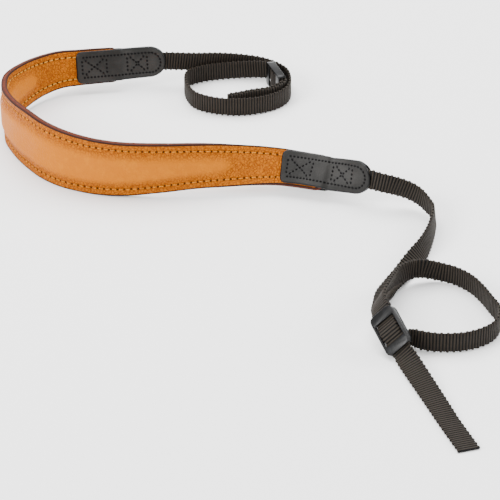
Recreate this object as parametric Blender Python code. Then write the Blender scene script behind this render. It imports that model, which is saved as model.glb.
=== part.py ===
"""Camera strap: padded leather shoulder pad, leather tabs and narrow ribbed webbing, lying on a surface."""

import math

import bmesh
import bpy
from mathutils import Matrix, Vector

# Driving dimensions, in metres. X runs to the right, Y to the back, Z up from the surface.

# Pad
pad_across = 0.1740
pad_deep = 0.1215
pad_width = 0.0310
skin_thickness = 0.0009
core_thickness = 0.0008
padding_rise = 0.0011
padding_margin = 0.0042
padding_ramp = 0.0055
padding_end_ramp = 0.0088
padding_end_share = 0.16
skive_share = 0.80
skive_length = 0.0200

# Tabs
tab_length = 0.0465
tab_overlap = 0.0225
tab_width_square = 0.0166
tab_width_round = 0.0158
tab_thickness = 0.0011
tab_corner_radius = 0.0030
tab_step_length = 0.0030

# Webbing
webbing_width = 0.0100
webbing_thickness = 0.0013
webbing_insert = 0.0200

# Left coil
coil_width = 0.0535
coil_deep = 0.0455
coil_offset_across = 0.0104
coil_offset_deep = 0.0360

# Right webbing
drop_across = 0.0300
drop_deep = 0.1190
loop_width = 0.0483
loop_deep = 0.0625
tail_length = 0.0740

# Sliders
slider_length = 0.0205
slider_rail = 0.0010
slider_corner = 0.0025
slider_end_bar_length = 0.0046
slider_end_bar_thickness = 0.0008
slider_middle_bar_length = 0.0030
slider_middle_bar_thickness = 0.0008
slider_edge_radius = 0.0003
weave = 0.0008

# Fit
clearance = 0.0003
face_clearance = 0.00045
layer_gap = 0.0005
seam_gap = 0.0002

# Mesh fineness
pad_step = 0.0065
pad_columns = 8
longest_step = 0.0060
sharpest_turn = 10.0
fine_samples = 16
tab_column_shares = (-1.0, -0.66, -0.30, 0.30, 0.66, 1.0)
tab_corner_degrees = (8, 35, 65, 90)
tab_round_degrees = (0, 22, 42, 60, 74, 84)
slider_corner_degrees = (0, 30, 60, 90)
fold_degrees = (-60, -30, 0, 30, 60)
insert_shares = (1.0, 0.8, 0.6, 0.4, 0.25, 0.12, 0.0)

# Spine of the pad and both tabs, from the left tab's round end to the right tab's.
# Columns: across (share of pad_across), deep (share of pad_deep), foot height (share of
# pad_width), lean in degrees, width (share of pad_width).
spine_rows = (
    (0.463, 1.003, 0.168, 6, 0.529),
    (0.416, 0.992, 0.165, 12, 0.535),
    (0.343, 0.965, 0.161, 17, 0.550),
    (0.269, 0.946, 0.155, 17, 0.564),
    (0.213, 0.931, 0.148, 16, 0.574),
    (0.157, 0.908, 0.139, 14, 0.600),
    (0.103, 0.850, 0.113, 11, 0.645),
    (0.059, 0.762, 0.084, 8, 0.716),
    (0.027, 0.665, 0.055, 5, 0.784),
    (0.018, 0.568, 0.026, 2, 0.839),
    (0.022, 0.488, 0.006, 0, 0.887),
    (0.039, 0.418, 0.000, 0, 0.919),
    (0.065, 0.336, 0.000, 0, 0.955),
    (0.098, 0.256, 0.000, 0, 0.990),
    (0.141, 0.173, 0.000, 0, 0.987),
    (0.194, 0.107, 0.000, 0, 0.968),
    (0.248, 0.067, 0.000, 0, 0.939),
    (0.301, 0.038, 0.012, 0, 0.913),
    (0.368, 0.020, 0.035, 0, 0.877),
    (0.466, 0.013, 0.097, -3, 0.794),
    (0.575, 0.025, 0.145, -10, 0.697),
    (0.684, 0.033, 0.161, -27, 0.619),
    (0.741, 0.041, 0.161, -36, 0.587),
    (0.793, 0.040, 0.161, -44, 0.568),
    (0.850, 0.021, 0.161, -50, 0.561),
    (0.901, -0.006, 0.165, -48, 0.558),
    (0.956, -0.031, 0.171, -37, 0.545),
    (1.007, -0.050, 0.178, -20, 0.529),
    (1.040, -0.063, 0.181, -10, 0.529),
)

# Left webbing after the tab: one outer turn, one inner turn, then the flat doubled end.
# Columns: across (share of coil_width), deep (share of coil_deep), centre height (share of
# webbing_width), roll in degrees.
coil_rows = (
    (0.055, 0.850, 1.18, -3),
    (0.331, 0.950, 0.98, 0),
    (0.540, 0.995, 0.80, 0),
    (0.724, 0.992, 0.65, 0),
    (0.858, 0.928, 0.55, 0),
    (0.962, 0.795, 0.50, 0),
    (1.000, 0.611, 0.50, 0),
    (0.994, 0.402, 0.50, 0),
    (0.944, 0.257, 0.50, 0),
    (0.820, 0.114, 0.50, 0),
    (0.630, 0.018, 0.50, 0),
    (0.443, 0.000, 0.50, 0),
    (0.256, 0.052, 0.50, 0),
    (0.107, 0.166, 0.50, 0),
    (0.037, 0.325, 0.50, 0),
    (0.000, 0.566, 0.50, 0),
    (0.030, 0.730, 0.50, 0),
    (0.130, 0.820, 0.50, 0),
    (0.260, 0.880, 0.50, 0),
    (0.430, 0.915, 0.52, 0),
    (0.600, 0.918, 0.57, 0),
    (0.730, 0.900, 0.62, 0),
)

# Centre of the left slider in shares of the coil and the webbing's width, its heading in degrees.
left_slider_place = (0.869, 0.622, 0.64)
left_slider_heading = -72.0

# Left webbing after its slider, out and back, in the coil's first three columns.
left_end_rows = (
    (0.905, 0.335, 0.62),
    (0.850, 0.272, 0.59),
    (0.779, 0.240, 0.55),
    (0.649, 0.211, 0.52),
    (0.536, 0.160, 0.50),
    (0.432, 0.112, 0.50),
)

# Right webbing from the tab to its slider. Columns: across (share of drop_across), forward
# (share of drop_deep), centre height (share of webbing_width), roll in degrees.
drop_rows = (
    (0.140, 0.013, 1.31, -6),
    (0.297, 0.018, 1.22, -3),
    (0.457, 0.018, 1.07, 0),
    (0.613, 0.025, 0.92, 0),
    (0.763, 0.050, 0.76, 0),
    (0.883, 0.098, 0.62, 3),
    (0.957, 0.149, 0.55, 6),
    (0.915, 0.246, 0.53, 10),
    (0.840, 0.329, 0.51, 15),
    (0.733, 0.409, 0.47, 27),
    (0.590, 0.480, 0.37, 50),
    (0.420, 0.550, 0.18, 77),
    (0.283, 0.603, 0.12, 93),
    (0.117, 0.695, 0.17, 101),
    (0.060, 0.765, 0.30, 113),
    (0.010, 0.830, 0.47, 124),
    (-0.010, 0.900, 0.80, 136),
)

# Right slider: centre measured from the drop's start in shares of drop_across and drop_deep,
# height in shares of webbing_width, then its heading, dip and roll in degrees.
right_slider_place = (0.117, 1.079, 0.915)
right_slider_heading = -64.0
right_slider_dip = 24.8
right_slider_roll = 143.0

# Right loop, from the back of the slider round and over the drop to the slider's upper end.
# Columns: across (share of loop_width), deep (share of loop_deep) from the slider's centre,
# centre height (share of webbing_width), roll in degrees.
loop_rows = (
    (0.091, -0.007, 0.53, 207),
    (0.133, 0.011, 0.52, 198),
    (0.188, 0.017, 0.53, 188),
    (0.274, -0.013, 0.50, 180),
    (0.408, -0.040, 0.50, 180),
    (0.545, -0.042, 0.50, 180),
    (0.682, -0.022, 0.50, 180),
    (0.825, 0.035, 0.50, 180),
    (0.924, 0.107, 0.50, 180),
    (0.985, 0.206, 0.50, 180),
    (1.000, 0.330, 0.50, 180),
    (0.945, 0.458, 0.50, 180),
    (0.882, 0.598, 0.50, 180),
    (0.802, 0.730, 0.50, 180),
    (0.716, 0.815, 0.50, 180),
    (0.625, 0.875, 0.50, 180),
    (0.535, 0.905, 0.52, 180),
    (0.440, 0.915, 0.60, 180),
    (0.345, 0.905, 0.72, 180),
    (0.250, 0.885, 0.74, 180),
    (0.168, 0.830, 0.80, 178),
    (0.090, 0.740, 0.92, 173),
    (0.032, 0.618, 1.09, 165),
    (-0.045, 0.430, 1.31, 157),
    (-0.095, 0.290, 1.39, 150),
)

# Right webbing's way up through the slider's second slot. Columns: along (share of the slot's
# distance from the slider's centre), lift (share of webbing_thickness).
slot_rows = (
    (0.35, 0.60),
    (0.74, 0.34),
    (0.98, -0.35),
    (1.04, -1.30),
)

# Tail beyond the slider. Columns: across and deep from the slider's lower end (shares of
# tail_length), centre height (share of webbing_width), roll in degrees.
tail_rows = (
    (0.039, -0.088, 0.32, 120),
    (0.100, -0.257, 0.20, 105),
    (0.181, -0.500, 0.11, 95),
    (0.232, -0.660, 0.068, 90),
    (0.265, -0.760, 0.066, 90),
    (0.296, -0.852, 0.066, 90),
    (0.326, -0.942, 0.066, 90),
)


def clear_scene():
    """Remove every object of the opened scene."""
    for item in list(bpy.data.objects):
        bpy.data.objects.remove(item, do_unlink=True)


def principled(name, colour, roughness, metallic=0.0):
    """One plain material with a piece's colour, roughness and metallic value."""
    material = bpy.data.materials.new(name)
    material.use_nodes = True
    shader = material.node_tree.nodes["Principled BSDF"]
    shader.inputs["Base Color"].default_value = (*colour, 1.0)
    shader.inputs["Roughness"].default_value = roughness
    shader.inputs["Metallic"].default_value = metallic
    return material


def smooth_share(value):
    """Ease from 0 to 1."""
    value = min(max(value, 0.0), 1.0)
    return value * value * (3.0 - 2.0 * value)


def knot_places(points):
    """Curve parameter of each point, from the square roots of their spacing."""
    knots = [0.0]
    for before, after in zip(points, points[1:]):
        knots.append(knots[-1] + math.sqrt((after - before).length))
    return knots


def between(values, knots, index, share):
    """Smooth reading of a list of vectors or numbers, a share of the way past an index."""
    last = len(values) - 1
    p1 = values[index]
    p2 = values[index + 1]
    p0 = values[index - 1] if index > 0 else p1 * 2.0 - p2
    p3 = values[index + 2] if index + 2 <= last else p2 * 2.0 - p1
    k1 = knots[index]
    k2 = knots[index + 1]
    k0 = knots[index - 1] if index > 0 else k1 * 2.0 - k2
    k3 = knots[index + 2] if index + 2 <= last else k2 * 2.0 - k1
    k = k1 + (k2 - k1) * share
    a1 = (p0 * (k1 - k) + p1 * (k - k0)) / (k1 - k0)
    a2 = (p1 * (k2 - k) + p2 * (k - k1)) / (k2 - k1)
    a3 = (p2 * (k3 - k) + p3 * (k - k2)) / (k3 - k2)
    b1 = (a1 * (k2 - k) + a2 * (k - k0)) / (k2 - k0)
    b2 = (a2 * (k3 - k) + a3 * (k - k1)) / (k3 - k1)
    return (b1 * (k2 - k) + b2 * (k - k1)) / (k2 - k1)


def roll_side(heading, degrees):
    """Direction of a band's width: up at 0 degrees, turned towards the right of its heading."""
    right = heading.cross(Vector((0.0, 0.0, 1.0))).normalized()
    up = right.cross(heading).normalized()
    angle = math.radians(degrees)
    return up * math.cos(angle) + right * math.sin(angle)


def width_directions(points, rolls):
    """Direction of the width at each point, from a roll in degrees or a given direction."""
    sides = []
    for index, roll in enumerate(rolls):
        before = points[max(index - 1, 0)]
        after = points[min(index + 1, len(points) - 1)]
        if isinstance(roll, Vector):
            sides.append(roll)
        else:
            sides.append(roll_side((after - before).normalized(), roll))
    return sides


def measured_curve(points, sides, widths=None):
    """Fine samples along a smooth curve: distance, place, width direction, width."""
    if widths is None:
        widths = [webbing_width] * len(points)
    knots = knot_places(points)
    samples = [(0.0, points[0], sides[0], widths[0])]
    for index in range(len(points) - 1):
        for k in range(1, fine_samples + 1):
            share = k / fine_samples
            place = between(points, knots, index, share)
            distance = samples[-1][0] + (place - samples[-1][1]).length
            side = between(sides, knots, index, share)
            width = between(widths, knots, index, share)
            samples.append((distance, place, side, width))
    return samples


def frame_at(curve, distance):
    """Place, heading, width direction, normal and width of a curve at a distance along it."""
    last = len(curve) - 1
    low = 0
    high = last
    while high - low > 1:
        middle = (low + high) // 2
        if curve[middle][0] <= distance:
            low = middle
        else:
            high = middle
    start = curve[low]
    end = curve[high]
    t = (distance - start[0]) / (end[0] - start[0])
    place = start[1].lerp(end[1], t)
    side = start[2].lerp(end[2], t)
    width = start[3] + (end[3] - start[3]) * t
    before = curve[max(low - 1, 0)][1]
    after = curve[min(high + 1, last)][1]
    heading = (after - before).normalized()
    side = (side - heading * side.dot(heading)).normalized()
    return place, heading, side, heading.cross(side), width


def bent_stations(curve, longest, turn):
    """Distances along a curve, closer together where it bends or rolls."""
    total = curve[-1][0]
    limit = math.cos(math.radians(turn))
    stations = [0.0]
    place, heading, side, normal, width = frame_at(curve, 0.0)
    for distance, *rest in curve[1:-1]:
        here = frame_at(curve, distance)
        turned = here[1].dot(heading) < limit or here[2].dot(side) < limit
        if distance - stations[-1] >= longest or turned:
            stations.append(distance)
            heading = here[1]
            side = here[2]
    if total - stations[-1] < longest * 0.25:
        stations.pop()
    stations.append(total)
    return stations


def loft(name, rings, material, sharp=40.0):
    """Closed solid through rings of equally many points, capped at both ends."""
    shape = bmesh.new()
    layers = [[shape.verts.new(point) for point in ring] for ring in rings]
    size = len(rings[0])
    for first, second in zip(layers, layers[1:]):
        for k in range(size):
            other = (k + 1) % size
            shape.faces.new((first[k], first[other], second[other], second[k]))
    shape.faces.new(tuple(reversed(layers[0])))
    shape.faces.new(tuple(layers[-1]))
    bmesh.ops.recalc_face_normals(shape, faces=shape.faces)
    bmesh.ops.triangulate(shape, faces=shape.faces, quad_method="SHORT_EDGE")
    mesh = bpy.data.meshes.new(name)
    shape.to_mesh(mesh)
    shape.free()
    mesh.materials.append(material)
    mesh.shade_smooth()
    mesh.set_sharp_from_angle(angle=math.radians(sharp))
    item = bpy.data.objects.new(name, mesh)
    bpy.context.scene.collection.objects.link(item)
    return item


def build_spine():
    """Curve through the middle of the pad's width, tabs included."""
    plan = [Vector((pad_across * row[0], pad_deep * row[1], 0.0)) for row in spine_rows]
    points = []
    for index, (across, deep, foot, lean, width) in enumerate(spine_rows):
        before = plan[max(index - 1, 0)]
        after = plan[min(index + 1, len(plan) - 1)]
        side = roll_side((after - before).normalized(), lean)
        base = plan[index] + Vector((0.0, 0.0, pad_width * foot))
        points.append(base + side * (pad_width * width / 2))
    rolls = [row[3] for row in spine_rows]
    widths = [pad_width * row[4] for row in spine_rows]
    return measured_curve(points, width_directions(points, rolls), widths)


def padding_share(distance, start, end, from_edge):
    """How full the pad is at a place: 0 along the seams, 1 in the middle."""
    length = end - start
    lead = min(distance - start, end - distance) - length * padding_end_share
    along = smooth_share(lead / padding_end_ramp)
    across = smooth_share((from_edge - padding_margin) / padding_ramp)
    return along * across


def pad_layers(spine, start, end):
    """Outer leather, inner leather and the core between them."""
    count = int(round((end - start) / pad_step))
    stations = [start + (end - start) * k / count for k in range(count + 1)]
    rings = {"outer": [], "inner": [], "core": []}
    for distance in stations:
        place, heading, side, normal, width = frame_at(spine, distance)
        from_end = min(distance - start, end - distance)
        thin = skive_share + (1.0 - skive_share) * smooth_share(from_end / skive_length)
        shares = [2.0 * k / pad_columns - 1.0 for k in range(pad_columns + 1)]
        faces = {"core": [], "under": [], "top": []}
        for share in shares:
            across = share * width / 2
            rise = padding_share(distance, start, end, width / 2 - abs(across)) * padding_rise
            core = core_thickness * thin / 2 + rise
            faces["core"].append((across, core))
            faces["under"].append((across, core + seam_gap))
            faces["top"].append((across, core + seam_gap + skin_thickness * thin))
        for name, low, high, sign in (
            ("outer", "under", "top", 1.0),
            ("inner", "under", "top", -1.0),
        ):
            ring = [place + side * a + normal * (n * sign) for a, n in faces[low]]
            ring += [place + side * a + normal * (n * sign) for a, n in reversed(faces[high])]
            rings[name].append(ring)
        ring = [place + side * a - normal * n for a, n in faces["core"]]
        ring += [place + side * a + normal * n for a, n in reversed(faces["core"])]
        rings["core"].append(ring)
    loft("pad_outer_leather", rings["outer"], materials["pad_outer_leather"])
    loft("pad_inner_leather", rings["inner"], materials["pad_inner_leather"])
    loft("pad_core", rings["core"], materials["pad_core"])


def tab_half_width(distance):
    """Half the tab's width at a distance from its square end."""
    share = distance / tab_length
    half = (tab_width_square + (tab_width_round - tab_width_square) * share) / 2
    if distance < tab_corner_radius:
        gone = tab_corner_radius - distance
        return half - tab_corner_radius + math.sqrt(tab_corner_radius**2 - gone**2)
    return half


def tab_stations():
    """Distances from the square end with the half width at each."""
    radius = tab_width_round / 2
    rows = []
    for degrees in tab_corner_degrees:
        distance = tab_corner_radius * (1.0 - math.cos(math.radians(degrees)))
        rows.append((distance, tab_half_width(distance)))
    rows[0] = (0.0, rows[0][1])
    straight = tab_length - radius
    marks = (
        tab_overlap * 0.5,
        tab_overlap + clearance,
        tab_overlap + clearance + tab_step_length * 0.5,
        tab_overlap + clearance + tab_step_length,
        (tab_overlap + straight) * 0.5,
    )
    rows += [(mark, tab_half_width(mark)) for mark in marks]
    for degrees in tab_round_degrees:
        angle = math.radians(degrees)
        distance = straight + radius * math.sin(angle)
        rows.append((distance, tab_half_width(distance) * math.cos(angle)))
    rows[-1] = (tab_length, rows[-1][1])
    return rows


def tab_pair(side_name, spine, round_end, direction):
    """Outer and inner leather of one tab. The round end sits at a distance on the spine."""
    over_pad = core_thickness / 2 + skin_thickness + seam_gap + face_clearance
    over_webbing = webbing_thickness / 2 + face_clearance
    over_border = clearance / 2
    webbing_half = webbing_width / 2
    for layer, sign in (("outer", 1.0), ("inner", -1.0)):
        rings = []
        for distance, half in tab_stations():
            along = round_end - direction * (tab_length - distance)
            place, heading, side, normal, width = frame_at(spine, along)
            step = (distance - tab_overlap - clearance) / tab_step_length
            beyond = smooth_share(step)
            under = []
            top = []
            for share in tab_column_shares:
                across = share * half
                reach = (abs(across) - webbing_half) / (tab_width_round / 2 - webbing_half)
                low = over_webbing + (over_border - over_webbing) * smooth_share(reach)
                base = over_pad + (low - over_pad) * beyond
                under.append(place + side * across + normal * (sign * base))
                top.append(place + side * across + normal * (sign * (base + tab_thickness)))
            rings.append(under + list(reversed(top)))
        name = side_name + "_tab_" + layer
        loft(name, rings, materials[name], sharp=50.0)


def ribbon(name, points, rolls):
    """Flat woven band swept through points."""
    curve = measured_curve(points, width_directions(points, rolls))
    rings = []
    half = webbing_width / 2
    thick = webbing_thickness / 2
    outline = ((-half, -thick), (half, -thick), (half, thick), (-half, thick))
    for distance in bent_stations(curve, longest_step, sharpest_turn):
        place, heading, side, normal, width = frame_at(curve, distance)
        rings.append([place + side * a + normal * n for a, n in outline])
    return loft(name, rings, materials[name])


def webbing_start(spine, end_distance, direction):
    """Hidden points of a webbing between the tab leathers, inside to outside."""
    points = []
    rolls = []
    for share in insert_shares:
        distance = end_distance - direction * webbing_insert * share
        place, heading, side, normal, width = frame_at(spine, distance)
        points.append(place)
        rolls.append(side)
    return points, rolls


def slider_axes(heading_degrees, dip_degrees, roll_degrees):
    """Length, width and outward directions of a slider."""
    heading = math.radians(heading_degrees)
    dip = math.radians(dip_degrees)
    level = math.cos(dip)
    along = Vector((math.cos(heading) * level, math.sin(heading) * level, -math.sin(dip)))
    side = roll_side(along, roll_degrees)
    return along, side, along.cross(side)


def slider_passage():
    """Places of a layer along the slider and out of its plane, from one mouth to the other."""
    mouth = slider_length / 2 + clearance
    reach = slider_length / 2 - slider_end_bar_length * 0.8
    return ((-mouth, -weave), (-reach, -weave), (0.0, weave), (reach, -weave), (mouth, -weave))


def box(name, across, along, through):
    """Plain box from three ranges."""
    shape = bmesh.new()
    bmesh.ops.create_cube(shape, size=1.0)
    for vertex in shape.verts:
        vertex.co.x = across[0] if vertex.co.x < 0 else across[1]
        vertex.co.y = along[0] if vertex.co.y < 0 else along[1]
        vertex.co.z = through[0] if vertex.co.z < 0 else through[1]
    mesh = bpy.data.meshes.new(name)
    shape.to_mesh(mesh)
    shape.free()
    item = bpy.data.objects.new(name, mesh)
    item.hide_render = True
    item.display_type = "WIRE"
    bpy.context.scene.collection.objects.link(item)
    return item


def slider(name, centre, axes, sign):
    """Three-bar slider: end bars over the webbing, middle bar beneath it."""
    along, side, normal = axes
    normal = normal * sign
    half_opening = webbing_width / 2 + clearance
    half_width = half_opening + slider_rail
    half_length = slider_length / 2
    layer = webbing_thickness + layer_gap
    bar_low = layer / 2 + webbing_thickness / 2 - weave + face_clearance
    top = bar_low + slider_end_bar_thickness
    bar_high = -(layer / 2 + webbing_thickness / 2) + weave - face_clearance
    bottom = bar_high - slider_middle_bar_thickness
    outline = []
    for corner in range(4):
        x_sign = (1, -1, -1, 1)[corner]
        y_sign = (1, 1, -1, -1)[corner]
        for degrees in slider_corner_degrees:
            angle = math.radians(degrees + 90 * corner)
            x = x_sign * (half_width - slider_corner) + slider_corner * math.cos(angle)
            y = y_sign * (half_length - slider_corner) + slider_corner * math.sin(angle)
            outline.append((x, y))
    rings = [[Vector((x, y, z)) for x, y in outline] for z in (bottom, top)]
    body = loft(name, rings, materials[name])
    beyond = slider_length
    opening = (-half_opening, half_opening)
    middle = slider_middle_bar_length / 2
    inner = half_length - slider_end_bar_length
    cuts = (
        ((middle, beyond), (-beyond, bar_low)),
        ((-beyond, -middle), (-beyond, bar_low)),
        ((-inner, inner), (bar_high, beyond)),
    )
    for number, (lengthwise, through) in enumerate(cuts):
        cutter = box(name + "_cut_" + str(number), opening, lengthwise, through)
        change = body.modifiers.new("cut", "BOOLEAN")
        change.operation = "DIFFERENCE"
        change.solver = "EXACT"
        change.object = cutter
    edge = body.modifiers.new("edges", "BEVEL")
    edge.width = slider_edge_radius
    edge.segments = 1
    edge.limit_method = "ANGLE"
    edge.angle_limit = math.radians(50.0)
    placed = Matrix((side * sign, -along, normal)).transposed().to_4x4()
    placed.translation = centre
    bpy.context.view_layer.update()
    shaped = bpy.data.meshes.new_from_object(
        body.evaluated_get(bpy.context.evaluated_depsgraph_get())
    )
    shaped.transform(placed)
    body.modifiers.clear()
    old = body.data
    body.data = shaped
    bpy.data.meshes.remove(old)
    for number in range(len(cuts)):
        cutter = bpy.data.objects[name + "_cut_" + str(number)]
        bpy.data.objects.remove(cutter, do_unlink=True)
    return body


def left_side(spine):
    """Coiled left webbing with its slider."""
    points, rolls = webbing_start(spine, 0.0, -1.0)
    exit_place = points[-1]
    corner = Vector((exit_place.x + coil_offset_across, exit_place.y - coil_offset_deep, 0.0))

    def spot(across, deep, height):
        return corner + Vector((coil_width * across, coil_deep * deep, webbing_width * height))

    for across, deep, height, roll in coil_rows:
        points.append(spot(across, deep, height))
        rolls.append(roll)
    axes = slider_axes(left_slider_heading, 0.0, 0.0)
    along, side, normal = axes
    centre = spot(*left_slider_place)
    layer = (webbing_thickness + layer_gap) / 2
    upright = Vector((0.0, 0.0, 1.0))
    for lengthwise, lift in slider_passage():
        points.append(centre + along * lengthwise + normal * (lift - layer))
        rolls.append(upright)
    turn = [spot(*row) for row in left_end_rows]
    back = []
    for index, place in enumerate(turn):
        before = turn[max(index - 1, 0)]
        after = turn[min(index + 1, len(turn) - 1)]
        heading = (after - before).normalized()
        outward = heading.cross(Vector((0.0, 0.0, 1.0)))
        points.append(place - outward * layer)
        rolls.append(upright)
        back.append(place + outward * layer)
    last_heading = (turn[-1] - turn[-2]).normalized()
    outward = last_heading.cross(Vector((0.0, 0.0, 1.0)))
    for degrees in fold_degrees:
        angle = math.radians(degrees)
        bend = last_heading * math.cos(angle) + outward * math.sin(angle)
        points.append(turn[-1] + bend * layer)
        rolls.append(upright)
    for place in reversed(back):
        points.append(place)
        rolls.append(upright)
    for lengthwise, lift in reversed(slider_passage()[1:]):
        points.append(centre + along * lengthwise + normal * (lift + layer))
        rolls.append(upright)
    ribbon("left_webbing", points, rolls)
    slider("left_slider", centre, axes, 1.0)


def right_side(spine):
    """Right webbing: drop, slider, loop, slider again and tail."""
    points, rolls = webbing_start(spine, spine[-1][0], 1.0)
    start = Vector((points[-1].x, points[-1].y, 0.0))
    for across, forward, height, roll in drop_rows:
        shift = Vector((drop_across * across, -drop_deep * forward, webbing_width * height))
        points.append(start + shift)
        rolls.append(roll)
    across, forward, height = right_slider_place
    centre = start + Vector((drop_across * across, -drop_deep * forward, webbing_width * height))
    axes = slider_axes(right_slider_heading, right_slider_dip, right_slider_roll)
    along, side, normal = axes
    normal = -normal
    layer = (webbing_thickness + layer_gap) / 2
    slot = (slider_middle_bar_length / 2 + slider_length / 2 - slider_end_bar_length) / 2
    under_rows = list(slider_passage()[:3])
    under_rows += [(slot * along_share, webbing_thickness * lift) for along_share, lift in slot_rows]
    for lengthwise, lift in under_rows:
        points.append(centre + along * lengthwise + normal * (lift - layer))
        rolls.append(side)
    for across, deep, height, roll in loop_rows:
        shift = Vector((loop_width * across, loop_deep * deep, 0.0))
        place = Vector((centre.x, centre.y, webbing_width * height)) + shift
        points.append(place)
        rolls.append(roll)
    for lengthwise, lift in slider_passage():
        points.append(centre + along * lengthwise + normal * (lift + layer))
        rolls.append(side)
    lower_end = centre + along * (slider_length / 2)
    for across, deep, height, roll in tail_rows:
        shift = Vector((tail_length * across, tail_length * deep, 0.0))
        points.append(Vector((lower_end.x, lower_end.y, webbing_width * height)) + shift)
        rolls.append(roll)
    ribbon("right_webbing", points, rolls)
    slider("right_slider", centre, axes, -1.0)


def stand_on_floor():
    """Shift every piece so that the strap is centred and rests on the plane z = 0."""
    corners = []
    for item in bpy.context.scene.objects:
        corners += [vertex.co.copy() for vertex in item.data.vertices]
    low = [min(corner[axis] for corner in corners) for axis in range(3)]
    high = [max(corner[axis] for corner in corners) for axis in range(3)]
    middle_x = (low[0] + high[0]) / 2
    middle_y = (low[1] + high[1]) / 2
    shift = Matrix.Translation(Vector((-middle_x, -middle_y, -low[2])))
    for item in bpy.context.scene.objects:
        item.data.transform(shift)
    return shift.translation


golden_leather = (0.66, 0.31, 0.070)
edge_brown = (0.14, 0.030, 0.008)
tab_black = (0.045, 0.045, 0.043)
webbing_black = (0.018, 0.015, 0.014)
slider_black = (0.030, 0.030, 0.032)

clear_scene()

materials = {
    "pad_outer_leather": principled("outer_golden_leather", golden_leather, 0.42),
    "pad_inner_leather": principled("inner_golden_leather", golden_leather, 0.48),
    "pad_core": principled("brown_painted_edge", edge_brown, 0.35),
    "left_tab_outer": principled("left_outer_black_leather", tab_black, 0.45),
    "left_tab_inner": principled("left_inner_black_leather", tab_black, 0.45),
    "right_tab_outer": principled("right_outer_black_leather", tab_black, 0.45),
    "right_tab_inner": principled("right_inner_black_leather", tab_black, 0.45),
    "left_webbing": principled("left_black_nylon", webbing_black, 0.55),
    "right_webbing": principled("right_black_nylon", webbing_black, 0.55),
    "left_slider": principled("left_black_lacquer", slider_black, 0.25),
    "right_slider": principled("right_black_lacquer", slider_black, 0.25),
}

spine_curve = build_spine()
spine_total = spine_curve[-1][0]
pad_inset = tab_length - tab_overlap
pad_layers(spine_curve, pad_inset, spine_total - pad_inset)
tab_pair("left", spine_curve, 0.0, -1.0)
tab_pair("right", spine_curve, spine_total, 1.0)
left_side(spine_curve)
right_side(spine_curve)
plan_shift = stand_on_floor()
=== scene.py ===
import math

import bmesh
import bpy
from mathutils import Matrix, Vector, noise


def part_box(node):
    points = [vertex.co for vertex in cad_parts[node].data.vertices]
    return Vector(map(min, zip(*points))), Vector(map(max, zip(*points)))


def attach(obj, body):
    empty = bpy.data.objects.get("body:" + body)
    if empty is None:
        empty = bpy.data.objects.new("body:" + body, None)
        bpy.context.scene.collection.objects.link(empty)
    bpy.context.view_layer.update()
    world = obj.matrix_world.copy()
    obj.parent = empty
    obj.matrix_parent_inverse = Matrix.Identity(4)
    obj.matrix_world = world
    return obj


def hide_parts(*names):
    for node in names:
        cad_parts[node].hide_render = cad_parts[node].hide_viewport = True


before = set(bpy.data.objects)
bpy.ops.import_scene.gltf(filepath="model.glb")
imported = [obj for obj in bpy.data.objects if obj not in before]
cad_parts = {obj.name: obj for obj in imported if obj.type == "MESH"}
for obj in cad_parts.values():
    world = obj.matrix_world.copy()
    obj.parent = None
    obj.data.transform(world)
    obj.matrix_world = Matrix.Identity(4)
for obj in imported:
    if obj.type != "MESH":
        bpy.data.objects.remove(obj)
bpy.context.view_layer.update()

# Lengths are in metres. X runs to the right, Y to the back and Z up from the surface.

strapSizes = {
    "padAcross": 0.1740,
    "padDeep": 0.1215,
    "padWidth": 0.0310,
    "webbingWidth": 0.0100,
    "webbingThickness": 0.0013,
    "webbingInsert": 0.0200,
    "insertShares": (1.0, 0.8, 0.6, 0.4, 0.25, 0.12, 0.0),
    "layerGap": 0.0005,
    "fineSamples": 16,
}

# Columns: across and deep (shares of padAcross and padDeep), foot height (share of padWidth),
# lean in degrees, width (share of padWidth)
spineRows = (
    (0.463, 1.003, 0.168, 6, 0.529),
    (0.416, 0.992, 0.165, 12, 0.535),
    (0.343, 0.965, 0.161, 17, 0.550),
    (0.269, 0.946, 0.155, 17, 0.564),
    (0.213, 0.931, 0.148, 16, 0.574),
    (0.157, 0.908, 0.139, 14, 0.600),
    (0.103, 0.850, 0.113, 11, 0.645),
    (0.059, 0.762, 0.084, 8, 0.716),
    (0.027, 0.665, 0.055, 5, 0.784),
    (0.018, 0.568, 0.026, 2, 0.839),
    (0.022, 0.488, 0.006, 0, 0.887),
    (0.039, 0.418, 0.000, 0, 0.919),
    (0.065, 0.336, 0.000, 0, 0.955),
    (0.098, 0.256, 0.000, 0, 0.990),
    (0.141, 0.173, 0.000, 0, 0.987),
    (0.194, 0.107, 0.000, 0, 0.968),
    (0.248, 0.067, 0.000, 0, 0.939),
    (0.301, 0.038, 0.012, 0, 0.913),
    (0.368, 0.020, 0.035, 0, 0.877),
    (0.466, 0.013, 0.097, -3, 0.794),
    (0.575, 0.025, 0.145, -10, 0.697),
    (0.684, 0.033, 0.161, -27, 0.619),
    (0.741, 0.041, 0.161, -36, 0.587),
    (0.793, 0.040, 0.161, -44, 0.568),
    (0.850, 0.021, 0.161, -50, 0.561),
    (0.901, -0.006, 0.165, -48, 0.558),
    (0.956, -0.031, 0.171, -37, 0.545),
    (1.007, -0.050, 0.178, -20, 0.529),
    (1.040, -0.063, 0.181, -10, 0.529),
)
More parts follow.
